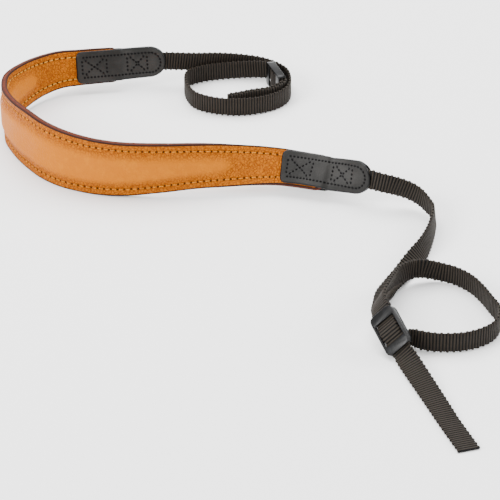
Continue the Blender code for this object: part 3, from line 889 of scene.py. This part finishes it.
def placedCopies(name, spots, copy, material, wobble, spread, seed, secondWidth=0.0):
    # spots: place, along, up. The result is one plain mesh.
    points = meshObject(name + "Points", [spot[0] for spot in spots], [], None,
                        {"along": [spot[1] for spot in spots], "up": [spot[2] for spot in spots]})
    change = points.modifiers.new("copies", "NODES")
    change.node_group = copyTree
    values = {"Copy": copy, "Second Width": secondWidth, "Wobble": wobble, "Size Spread": spread,
              "Seed": seed, "Material": material}
    for socket in copyTree.interface.items_tree:
        if socket.in_out == "INPUT" and socket.name in values:
            change[socket.identifier] = values[socket.name]
    mesh = finishedMesh(points)
    bpy.data.objects.remove(points, do_unlink=True)
    return linked(name, mesh)


def dressed(piece, slotName, *nodes):
    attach(piece, "root")
    if nodes:
        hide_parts(*nodes)
    print(piece.name, len(piece.data.polygons), "faces")
    return piece


# Pad

padSizes = {
    "inset": 0.0240,          # spine left over at each end for the tab alone
    "skin": 0.0009,
    "core": 0.0008,
    "seamGap": 0.0002,
    "skive": 0.80,
    "skiveLength": 0.0200,
    "paddingRise": 0.0011,
    "paddingMargin": 0.0046,
    "paddingEnd": 0.0447,
    "paddingCorner": 0.0075,
    "paddingRamp": 0.0046,
    "cornerRadius": 0.0040,
    "edgeDrop": 0.00050,
    "edgeRound": 0.0007,
    "bandMiddle": -0.00025,   # painted edge band, measured outwards from the leather's edge
    "bandReach": 0.00058,
    "bandOver": 0.99,
    "rowInside": 0.0033,      # stitch rows, from the edges
    "rowDepth": 0.00028,
    "rowWidth": 0.00085,
    "pucker": 0.00007,
    "puckerWidth": 0.00204,
    "bandStep": 0.0016,
    "bandSides": 16,
    "bandOutPower": 0.7,      # under 1 squares the band's section
    "bandThroughPower": 0.45,
    "bandRough": 0.00006,
    "bandRoughScale": 420.0,
    "bandSeed": 3.0,
    "crumple": 0.00016,       # uneven face: coarse and fine height, and its noise scales
    "fineCrumple": 0.00007,
    "crumpleAlong": 95.0,
    "crumpleAcross": 150.0,
    "crumpleFiner": 2.7,
    "crumpleLost": 0.65,      # share that full padding stretches out
    "crumpleEdge": 0.003,
    "outerSeed": 1.0,         # a skin and its stitches share one seed
    "innerSeed": 7.0,
    "underGap": 0.00005,
    "underFollow": 0.6,       # share of the padding's rise that the hidden face follows
    "leastWall": 0.0003,
    "rowStep": 0.0008,
    "columns": 44,
    "bunching": 0.94,
}
stitchSizes = {
    "pitch": 0.0032,
    "length": 0.00230,
    "thick": 0.00052,
    "firstHole": 0.0020,
    "wobble": 0.06,
    "spread": 0.05,
    "tabPitch": 0.0018,
    "tabLength": 0.00130,
    "tabThick": 0.00056,
    "tabWobble": 0.05,
    "tabSpread": 0.06,
    "shares": (-1.0, -0.8, -0.45, 0.0, 0.45, 0.8, 1.0),
    "sides": 6,
    "tip": 0.45,
    "rise": 0.30,
    "sink": 0.75,
    "twist": 1.4,
    "wide": 1.12,
    "high": 0.92,
}
padStart = padSizes["inset"]
padEnd = spineTotal - padSizes["inset"]


def padHalf(distance):
    # Half the pad's width, its end corners rounded
    half = stationAt(spine, distance).width / 2
    radius = padSizes["cornerRadius"]
    fromEnd = max(min(distance - padStart, padEnd - distance), 0.0)
    if fromEnd >= radius:
        return half
    return half - radius + math.sqrt(radius**2 - (radius - fromEnd) ** 2)


def padThin(distance):
    fromEnd = min(distance - padStart, padEnd - distance)
    return padSizes["skive"] + (1.0 - padSizes["skive"]) * smoothShare(fromEnd / padSizes["skiveLength"])


def padFill(distance, fromEdge, half):
    # How full the padding is; its outline is a long strip with round corners
    radius = padSizes["paddingCorner"]
    middle = (padStart + padEnd) / 2
    halfLength = (padEnd - padStart) / 2 - padSizes["paddingEnd"]
    pastLength = abs(distance - middle) - (halfLength - radius)
    pastWidth = (half - fromEdge) - (half - padSizes["paddingMargin"] - radius)
    corner = math.hypot(max(pastLength, 0.0), max(pastWidth, 0.0))
    inside = radius - corner - min(max(pastLength, pastWidth), 0.0)
    return smoothShare(inside / padSizes["paddingRamp"])


def stitchTurn(distance):
    # Whole numbers at the needle holes
    return (distance - padStart - stitchSizes["firstHole"]) / stitchSizes["pitch"]


def padTop(distance, across, half, seed):
    # Height of the leather's face over the spine, with the padding share and row distance
    thin = padThin(distance)
    fromEdge = half - abs(across)
    fill = padFill(distance, fromEdge, half)
    top = padSizes["core"] * thin / 2 + padSizes["seamGap"] + padSizes["skin"] * thin
    top += padSizes["paddingRise"] * fill
    fromRow = abs(fromEdge - padSizes["rowInside"])
    row = math.exp(-((fromRow / padSizes["rowWidth"]) ** 2))
    wide = math.exp(-((fromRow / padSizes["puckerWidth"]) ** 2))
    top -= padSizes["rowDepth"] * row
    top -= padSizes["pucker"] * wide * math.cos(2.0 * math.pi * stitchTurn(distance))
    edge = min(fromEdge / padSizes["edgeRound"], 1.0)
    top -= padSizes["edgeDrop"] * (1.0 - math.sqrt(1.0 - (1.0 - edge) ** 2))
    where = Vector((distance * padSizes["crumpleAlong"], across * padSizes["crumpleAcross"], seed))
    crumple = noise.noise(where) * padSizes["crumple"]
    crumple += noise.noise(where * padSizes["crumpleFiner"]) * padSizes["fineCrumple"]
    crumple *= 1.0 - padSizes["crumpleLost"] * fill
    top += crumple * min(fromEdge / padSizes["crumpleEdge"], 1.0)
    return top, fill, fromRow


def bunchedShares(columns, bunching):
    # Shares from -1 to 1 across a band, closer together near its edges
    quarter = math.pi / 2
    return [math.sin(quarter * (2.0 * k / columns - 1.0) * bunching) / math.sin(quarter * bunching)
            for k in range(columns + 1)]


def padSkin(name, sign, material, seed):
    count = round((padEnd - padStart) / padSizes["rowStep"])
    shares = bunchedShares(padSizes["columns"], padSizes["bunching"])
    rings = []
    values = {"fill": [], "fromRow": [], "stitchTurn": []}
    for row in range(count + 1):
        distance = padStart + (padEnd - padStart) * row / count
        here = stationAt(spine, distance)
        half = padHalf(distance)
        core = padSizes["core"] * padThin(distance) / 2
        upper, lower, fills, rows = [], [], [], []
        for share in shares:
            across = share * half
            top, fill, fromRow = padTop(distance, across, half, seed)
            under = core + padSizes["underGap"] + padSizes["paddingRise"] * fill * padSizes["underFollow"]
            upper.append(here.point(across, sign * top))
            lower.append(here.point(across, sign * min(under, top - padSizes["leastWall"])))
            fills.append(fill)
            rows.append(fromRow)
        rings.append(lower + upper[::-1])
        values["fill"] += fills + fills[::-1]
        values["fromRow"] += rows + rows[::-1]
        values["stitchTurn"] += [stitchTurn(distance)] * (2 * len(rows))
    return ringedSolid(name, rings, material, values)


def padOutline():
    # Round the pad's edge: distances along the spine and places across it
    radius = padSizes["cornerRadius"]
    count = round((padEnd - padStart) / padSizes["bandStep"])
    straight = [padStart + (padEnd - padStart) * k / count for k in range(count + 1)]
    straight = [distance for distance in straight if min(distance - padStart, padEnd - distance) > radius]
    arc = [radius * (1.0 - math.cos(math.radians(degrees))) for degrees in range(0, 91, 15)]
    lengthwise = [padStart + d for d in arc] + straight + [padEnd - d for d in reversed(arc)]
    upperSide = [(distance, padHalf(distance)) for distance in lengthwise]
    lowerSide = [(distance, -across) for distance, across in reversed(upperSide)]
    farEnd = [(padEnd, padHalf(padEnd) * share) for share in (0.5, 0.0, -0.5)]
    nearEnd = [(padStart, padHalf(padStart) * share) for share in (-0.5, 0.0, 0.5)]
    return upperSide + farEnd + lowerSide + nearEnd


def padEdgeBand():
    # The painted edge: a band round the pad's whole outline, all layers thick
    section = []
    for step in range(padSizes["bandSides"]):
        angle = 2.0 * math.pi * step / padSizes["bandSides"]
        c, s = math.cos(angle), math.sin(angle)
        section.append((math.copysign(abs(c) ** padSizes["bandOutPower"], c),
                        math.copysign(abs(s) ** padSizes["bandThroughPower"], s)))
    path = padOutline()
    scale = padSizes["bandRoughScale"]
    rings, edgeShares = [], []
    for index, (distance, across) in enumerate(path):
        before, after = path[index - 1], path[(index + 1) % len(path)]
        run = Vector((after[0] - before[0], after[1] - before[1])).normalized()
        here = stationAt(spine, distance)
        out = (here.side * run.x - here.heading * run.y).normalized()
        thick = (padSizes["core"] / 2 + padSizes["seamGap"] + padSizes["skin"]) * padThin(distance)
        where = Vector((distance * scale, across * scale, padSizes["bandSeed"]))
        rough = noise.noise(where) * padSizes["bandRough"]
        ring = []
        for outward, through in section:
            reach = padSizes["bandMiddle"] + padSizes["bandReach"] * outward + rough
            point = here.point(across) + out * reach
            point += here.normal * (thick * padSizes["bandOver"] * through)
            point.z = max(point.z, 0.0)  # flattened where it stands
            ring.append(point)
            edgeShares.append(through)
        rings.append(ring)
    return ringedSolid("padPaintedEdge", rings, brownEdge, {"edgeShare": edgeShares}, loop=True)


def stitchCopy(name, length, thick):
    # One thread stitch along X, sunk at both ends
    rings = []
    for share in stitchSizes["shares"]:
        radius = thick / 2 * (stitchSizes["tip"] if abs(share) == 1.0 else 1.0)
        lift = thick * (stitchSizes["rise"] - stitchSizes["sink"] * share**4)
        ring = []
        for step in range(stitchSizes["sides"]):
            angle = 2.0 * math.pi * step / stitchSizes["sides"] + share * stitchSizes["twist"]
            ring.append(Vector((share * length / 2, radius * stitchSizes["wide"] * math.cos(angle),
                                radius * stitchSizes["high"] * math.sin(angle) + lift)))
        rings.append(ring)
    made = ringedSolid(name, rings, None)
    made.hide_render = True
    return made


padStitch = stitchCopy("padStitchCopy", stitchSizes["length"], stitchSizes["thick"])
tabStitch = stitchCopy("tabStitchCopy", stitchSizes["tabLength"], stitchSizes["tabThick"])


def padStitchSpots(sign, seed):
    spots = []
    count = int((padEnd - padStart - 2.0 * stitchSizes["firstHole"]) / stitchSizes["pitch"])
    for row in (-1.0, 1.0):
        for index in range(count):
            distance = padStart + stitchSizes["firstHole"] + (index + 0.5) * stitchSizes["pitch"]
            here = stationAt(spine, distance)
            half = padHalf(distance)
            across = row * (half - padSizes["rowInside"])
            top = padTop(distance, across, half, seed)[0]
            spots.append((here.point(across, sign * top), here.heading, here.normal * sign))
    return spots


outerSkin = padSkin("padOuterLeather", 1.0, goldenOuter, padSizes["outerSeed"])
innerSkin = padSkin("padInnerLeather", -1.0, goldenInner, padSizes["innerSeed"])
paintedBand = padEdgeBand()
dressed(outerSkin, "outer_golden_leather", "pad_outer_leather")
dressed(innerSkin, "inner_golden_leather", "pad_inner_leather")
dressed(paintedBand, "brown_painted_edge", "pad_core")
outerSpots = padStitchSpots(1.0, padSizes["outerSeed"])
innerSpots = padStitchSpots(-1.0, padSizes["innerSeed"])
outerStitches = placedCopies("padOuterStitches", outerSpots, padStitch, brownThread,
                             stitchSizes["wobble"], stitchSizes["spread"], seed=4)
innerStitches = placedCopies("padInnerStitches", innerSpots, padStitch, creamThread,
                             stitchSizes["wobble"], stitchSizes["spread"], seed=9)
dressed(outerStitches, "outer_golden_leather")
dressed(innerStitches, "inner_golden_leather")
print("pad done")


# Tabs

tabSizes = {
    "length": 0.0465,
    "overlap": 0.0225,
    "widthSquare": 0.0166,
    "widthRound": 0.0158,
    "thickness": 0.0011,
    "cornerRadius": 0.0030,
    "stepLength": 0.0030,
    "overPad": 0.00165,
    "overWebbing": 0.00085,
    "overBorder": 0.00010,
    "edgeRound": 0.00050,
    "rowAcross": 0.0052,
    "rowStart": 0.0031,
    "rowEnd": 0.0389,
    "arcEnd": 0.0440,
    "boxes": ((0.0031, 0.0158), (0.0265, 0.0369)),
    "boxInside": 0.0012,
    "stitchDepth": 0.00024,
    "stitchWidth": 0.00055,
    "borderRamp": 1.15,
    "rimWall": 0.42,          # share of the thickness that is left at the rim
    "rimLift": 0.20,
    "tipShare": 0.05,         # least share of the width, so that the round end stays open
    "crumple": 0.00010,
    "crumpleScale": 160.0,
    "crumpleEdge": 0.002,
    "firstSeed": 16.0,
    "seedStep": 5.0,          # from one tab leather to the next
    "rowStep": 0.0006,
    "columns": 26,
    "tipGap": 0.00001,
}


def tabStitchPaths():
    # Stitch lines on the flat tab: two long rows, the round end and two crossed boxes
    side = tabSizes["rowAcross"]
    arc = []
    for degrees in range(0, 181, 12):
        angle = math.radians(degrees)
        reach = (tabSizes["arcEnd"] - tabSizes["rowEnd"]) * math.sin(angle)
        arc.append((tabSizes["rowEnd"] + reach, side * math.cos(angle)))
    outline = [(tabSizes["rowStart"], side)] + arc + [(tabSizes["rowStart"], -side)]
    paths = [outline]
    inner = tabSizes["boxInside"]
    reach = side - inner
    for low, high in tabSizes["boxes"]:
        paths.append([(low, -reach), (low, reach)])
        paths.append([(high, -reach), (high, reach)])
        paths.append([(low + inner, -reach), (high - inner, reach)])
        paths.append([(low + inner, reach), (high - inner, -reach)])
    return paths


def spacedAlong(path, pitch):
    # Evenly spaced places on a line of corners: along, across and direction
    lengths = [math.dist(a, b) for a, b in zip(path, path[1:])]
    total = sum(lengths)
    count = max(1, round(total / pitch))
    found = []
    for index in range(count):
        left = total * (index + 0.5) / count
        for k, length in enumerate(lengths):
            if left <= length or k == len(lengths) - 1:
                (x0, y0), (x1, y1) = path[k], path[k + 1]
                t = left / length
                found.append((x0 + (x1 - x0) * t, y0 + (y1 - y0) * t,
                              (x1 - x0) / length, (y1 - y0) / length))
                break
            left -= length
    return found


tabStitchPlaces = []
for path in tabStitchPaths():
    tabStitchPlaces += spacedAlong(path, stitchSizes["tabPitch"])


def tabHalf(distance):
    share = distance / tabSizes["length"]
    half = (tabSizes["widthSquare"] + (tabSizes["widthRound"] - tabSizes["widthSquare"]) * share) / 2
    corner = tabSizes["cornerRadius"]
    if distance < corner:
        return half - corner + math.sqrt(max(corner**2 - (corner - distance) ** 2, 0.0))
    radius = tabSizes["widthRound"] / 2
    past = distance - (tabSizes["length"] - radius)
    if past > 0.0:
        return half * math.sqrt(max(1.0 - (past / radius) ** 2, tabSizes["tipShare"] ** 2))
    return half


def tabFromEdge(distance, across):
    radius = tabSizes["widthRound"] / 2
    past = distance - (tabSizes["length"] - radius)
    if past > 0.0:
        return radius - math.hypot(past, across)
    corner = tabSizes["cornerRadius"]
    half = tabHalf(max(distance, corner))
    if distance < corner and abs(across) > half - corner:
        return corner - math.hypot(corner - distance, abs(across) - half + corner)
    return min(half - abs(across), distance)


def tabHeights(distance, across, seed):
    # Under and upper face over the spine
    beyond = smoothShare((distance - tabSizes["overlap"]) / tabSizes["stepLength"])
    webbingHalf = strapSizes["webbingWidth"] / 2
    reach = (abs(across) - webbingHalf) / (tabSizes["widthRound"] / 2 - webbingHalf)
    low = tabSizes["overWebbing"]
    low += (tabSizes["overBorder"] - tabSizes["overWebbing"]) * smoothShare(reach * tabSizes["borderRamp"])
    under = tabSizes["overPad"] + (low - tabSizes["overPad"]) * beyond
    fromEdge = max(tabFromEdge(distance, across), 0.0)
    edge = min(fromEdge / tabSizes["edgeRound"], 1.0)
    roundShare = math.sqrt(1.0 - (1.0 - edge) ** 2)
    rim = tabSizes["rimWall"]
    top = under + tabSizes["thickness"] * (rim + (1.0 - rim) * roundShare)
    under += tabSizes["thickness"] * tabSizes["rimLift"] * (1.0 - roundShare)
    nearest = min(math.hypot(distance - spot[0], across - spot[1]) for spot in tabStitchPlaces)
    top -= tabSizes["stitchDepth"] * math.exp(-((nearest / tabSizes["stitchWidth"]) ** 2))
    scale = tabSizes["crumpleScale"]
    crumple = noise.noise(Vector((distance * scale, across * scale, seed))) * tabSizes["crumple"]
    top += crumple * min(fromEdge / tabSizes["crumpleEdge"], 1.0)
    return under, top, fromEdge, nearest


def tabDistances():
    rows = [tabSizes["cornerRadius"] * (1.0 - math.cos(math.radians(a))) for a in range(10, 91, 16)]
    rows[0] = 0.0
    straight = tabSizes["length"] - tabSizes["widthRound"] / 2
    count = round((straight - rows[-1]) / tabSizes["rowStep"])
    first = rows[-1]
    rows += [first + (straight - first) * k / count for k in range(1, count + 1)]
    radius = tabSizes["widthRound"] / 2
    rows += [straight + radius * math.sin(math.radians(a)) for a in range(5, 90, 5)]
    return rows + [tabSizes["length"] - tabSizes["tipGap"]]


def tabStation(roundEnd, direction, distance):
    return stationAt(spine, roundEnd - direction * (tabSizes["length"] - distance))


def tabSkin(name, roundEnd, direction, sign, seed):
    rings, edges, stitches = [], [], []
    shares = bunchedShares(tabSizes["columns"], 1.0)
    for distance in tabDistances():
        here = tabStation(roundEnd, direction, distance)
        upper, lower, fromEdges, fromStitches = [], [], [], []
        for share in shares:
            across = share * tabHalf(distance)
            under, top, fromEdge, fromStitch = tabHeights(distance, across, seed)
            lower.append(here.point(across, sign * under))
            upper.append(here.point(across, sign * top))
            fromEdges.append(fromEdge)
            fromStitches.append(fromStitch)
        rings.append(lower + upper[::-1])
        edges += fromEdges + fromEdges[::-1]
        stitches += fromStitches + fromStitches[::-1]
    return ringedSolid(name, rings, blackTabs, {"fromEdge": edges, "fromStitch": stitches})


def tabSpots(roundEnd, direction, sign, seed):
    spots = []
    for distance, across, runAlong, runAcross in tabStitchPlaces:
        here = tabStation(roundEnd, direction, distance)
        top = tabHeights(distance, across, seed)[1]
        run = here.heading * (runAlong * direction) + here.side * runAcross
        spots.append((here.point(across, sign * top), run, here.normal * sign))
    return spots


seed = tabSizes["firstSeed"]
for sideName, roundEnd, direction in (("left", 0.0, -1.0), ("right", spineTotal, 1.0)):
    for layer, sign in (("outer", 1.0), ("inner", -1.0)):
        slotName = sideName + "_" + layer + "_black_leather"
        skin = tabSkin(sideName + layer.title() + "Tab", roundEnd, direction, sign, seed)
        dressed(skin, slotName, sideName + "_tab_" + layer)
        threads = placedCopies(sideName + layer.title() + "TabStitches",
                               tabSpots(roundEnd, direction, sign, seed), tabStitch, blackThread,
                               stitchSizes["tabWobble"], stitchSizes["tabSpread"], int(seed))
        dressed(threads, slotName)
        seed += tabSizes["seedStep"]
print("tabs done")


# Webbing: a thin base band with a rib at each weft

webbingSizes = {
    "ribPitch": 0.00141,
    "ribOverlap": 1.02,
    "baseHalf": 0.0044,
    "baseThick": 0.00036,
    "baseStep": 0.0008,
    "baseShort": 0.0004,
    "secondWidth": -0.065,    # added to every second rib's width share
    "wobble": 0.012,
    "profile": ((-0.5, 0.30), (-0.36, 0.74), (-0.15, 1.0), (0.15, 1.0), (0.36, 0.74), (0.5, 0.30)),
    "cornerAcross": 0.94,
    "cornerThrough": 0.35,
    "waist": 0.10,            # how much narrower a rib is where it is thin
}


def ribCopy():
    # One weft rib along X, as wide as the band
    half = strapSizes["webbingWidth"] / 2
    thick = strapSizes["webbingThickness"] / 2
    corner, through = webbingSizes["cornerAcross"], webbingSizes["cornerThrough"]
    halfSection = [(y, -1.0) for y in (-corner, -0.5, 0.5, corner)]
    halfSection += [(1.0, -through), (1.0, through)]
    section = halfSection + [(-y, -z) for y, z in halfSection]
    length = webbingSizes["ribPitch"] * webbingSizes["ribOverlap"]
    rings, across, lift = [], [], []
    for x, high in webbingSizes["profile"]:
        pull = 1.0 - (1.0 - high) * webbingSizes["waist"]
        rings.append([Vector((x * length, y * half * pull, z * thick * high)) for y, z in section])
        across += [y * half * 1000.0 for y, z in section]  # in millimetres
        # The rib's height share also sets the nylon's painted groove shade
        lift += [high] * len(section)
    made = ringedSolid("ribCopy", rings, None, {"ribAcross": across, "ribLift": lift})
    made.hide_render = True
    return made


weftRib = ribCopy()


def webbingPiece(name, curve, seed):
    total = curve[-1][0]
    count = round(total / webbingSizes["ribPitch"])
    stations = [stationAt(curve, total * (index + 0.5) / count) for index in range(count)]
    spots = [(here.place, here.heading, here.normal) for here in stations]
    ribs = placedCopies(name + "Ribs", spots, weftRib, blackNylon, webbingSizes["wobble"], 0.0, seed,
                        webbingSizes["secondWidth"])
    short = webbingSizes["baseShort"]
    steps = round((total - 2.0 * short) / webbingSizes["baseStep"])
    half, thick = webbingSizes["baseHalf"], webbingSizes["baseThick"]
    outline = ((-half, -thick), (half, -thick), (half, thick), (-half, thick))
    rings = []
    for step in range(steps + 1):
        here = stationAt(curve, short + (total - 2.0 * short) * step / steps)
        rings.append([here.point(across, lift) for across, lift in outline])
    size = len(rings) * len(outline)
    # A rib lift of 0.5 gives the base band the painted groove shade, almost black.
    base = ringedSolid(name + "Base", rings, blackNylon,
                       {"ribAcross": [0.0] * size, "ribLift": [0.5] * size})
    return ribs, base


for sideName, curve, seed in (("left", leftCurve, 3), ("right", rightCurve, 8)):
    ribs, base = webbingPiece(sideName + "Webbing", curve, seed)
    dressed(ribs, sideName + "_black_nylon", sideName + "_webbing")
    dressed(base, sideName + "_black_nylon")
print("webbing done")


# Sliders: the CAD solids with softened edges

sliderLook = {
    "mergeWithin": 0.000005,
    "flatDegrees": 1.0,       # faces that differ by less become one
    "softEdge": 0.00014,
    "segments": 2,
    "bevelDegrees": 30.0,
    "sharpDegrees": 50.0,
}


def softSlider(name, node):
    mesh = bpy.data.objects[node].data.copy()
    shape = bmesh.new()
    shape.from_mesh(mesh)
    bmesh.ops.remove_doubles(shape, verts=shape.verts, dist=sliderLook["mergeWithin"])
    bmesh.ops.dissolve_limit(shape, angle_limit=math.radians(sliderLook["flatDegrees"]),
                             verts=shape.verts, edges=shape.edges)
    shape.to_mesh(mesh)
    shape.free()
    mesh.materials.clear()
    mesh.materials.append(blackLacquer)
    made = linked(name, mesh)
    edge = made.modifiers.new("softEdge", "BEVEL")
    edge.width = sliderLook["softEdge"]
    edge.segments = sliderLook["segments"]
    edge.limit_method = "ANGLE"
    edge.angle_limit = math.radians(sliderLook["bevelDegrees"])
    made.data = finishedMesh(made)
    made.data.set_sharp_from_angle(angle=math.radians(sliderLook["sharpDegrees"]))
    return made


for sideName in ("left", "right"):
    dressed(softSlider(sideName + "Slider", sideName + "_slider"), sideName + "_black_lacquer",
            sideName + "_slider")
for helper in (padStitch, tabStitch, weftRib):
    bpy.data.objects.remove(helper, do_unlink=True)
print("sliders done")


# Floor, light and camera

stageSizes = {
    "aim": (0.124, -0.049, 0.0),   # in the plan, before planShift
    "elevation": 30.0,
    "distance": 1.2,
    "lens": 187.5,
    "sensor": 36.0,
    "floor": 6.0,
    "floorDrop": 0.00002,
    "floorColour": (0.97, 0.97, 0.97),
    "floorShade": (0.95, 0.95, 0.95),
    "floorRoughness": 0.75,
    "floorSpecular": 0.2,
    "worldColour": (1.0, 1.0, 1.0),
    "worldStrength": 1.45,
    "clip": (0.05, 20.0),
    "lamps": (                # name, place, size and power; each aims at the frame's origin
        ("topSoft", (-0.15, 0.55, 1.35), 1.3, 38.0),
        ("keyLeft", (-1.25, -0.75, 0.95), 0.7, 34.0),
        ("rimRight", (1.35, 0.35, 0.75), 0.7, 16.0),
    ),
}


def areaLight(name, place, size, power):
    data = bpy.data.lights.new(name, "AREA")
    data.shape = "SQUARE"
    data.size = size
    data.energy = power
    lamp = linked(name, data)
    lamp.location = place
    lamp.rotation_euler = (-Vector(place)).to_track_quat("-Z", "Y").to_euler()


def studio():
    look = Look("paleFloor")
    grainy = look.noise(2.0, 2.0, 0.5)
    shade = look.mix(grainy * 0.1, stageSizes["floorColour"], stageSizes["floorShade"])
    material = look.finish(shade, stageSizes["floorRoughness"], stageSizes["floorSpecular"])
    half, low = stageSizes["floor"] / 2, -stageSizes["floorDrop"]
    corners = [(-half, -half, low), (half, -half, low), (half, half, low), (-half, half, low)]
    floor = meshObject("floor", corners, [(0, 1, 2, 3)], material)
    world = bpy.data.worlds.new("studioWorld")
    bpy.context.scene.world = world
    world.use_nodes = True
    background = world.node_tree.nodes["Background"]
    background.inputs["Color"].default_value = (*stageSizes["worldColour"], 1.0)
    background.inputs["Strength"].default_value = stageSizes["worldStrength"]
    for lamp in stageSizes["lamps"]:
        areaLight(*lamp)


def camera():
    aim = Vector(stageSizes["aim"]) + planShift
    angle = math.radians(stageSizes["elevation"])
    data = bpy.data.cameras.new("camera")
    data.lens = stageSizes["lens"]
    data.sensor_width = stageSizes["sensor"]
    data.clip_start, data.clip_end = stageSizes["clip"]
    made = linked("camera", data)
    back = Vector((0.0, -math.cos(angle), math.sin(angle)))
    made.location = aim + back * stageSizes["distance"]
    made.rotation_euler = (math.radians(90.0 - stageSizes["elevation"]), 0.0, 0.0)
    bpy.context.scene.camera = made


studio()
camera()
print("stage done")
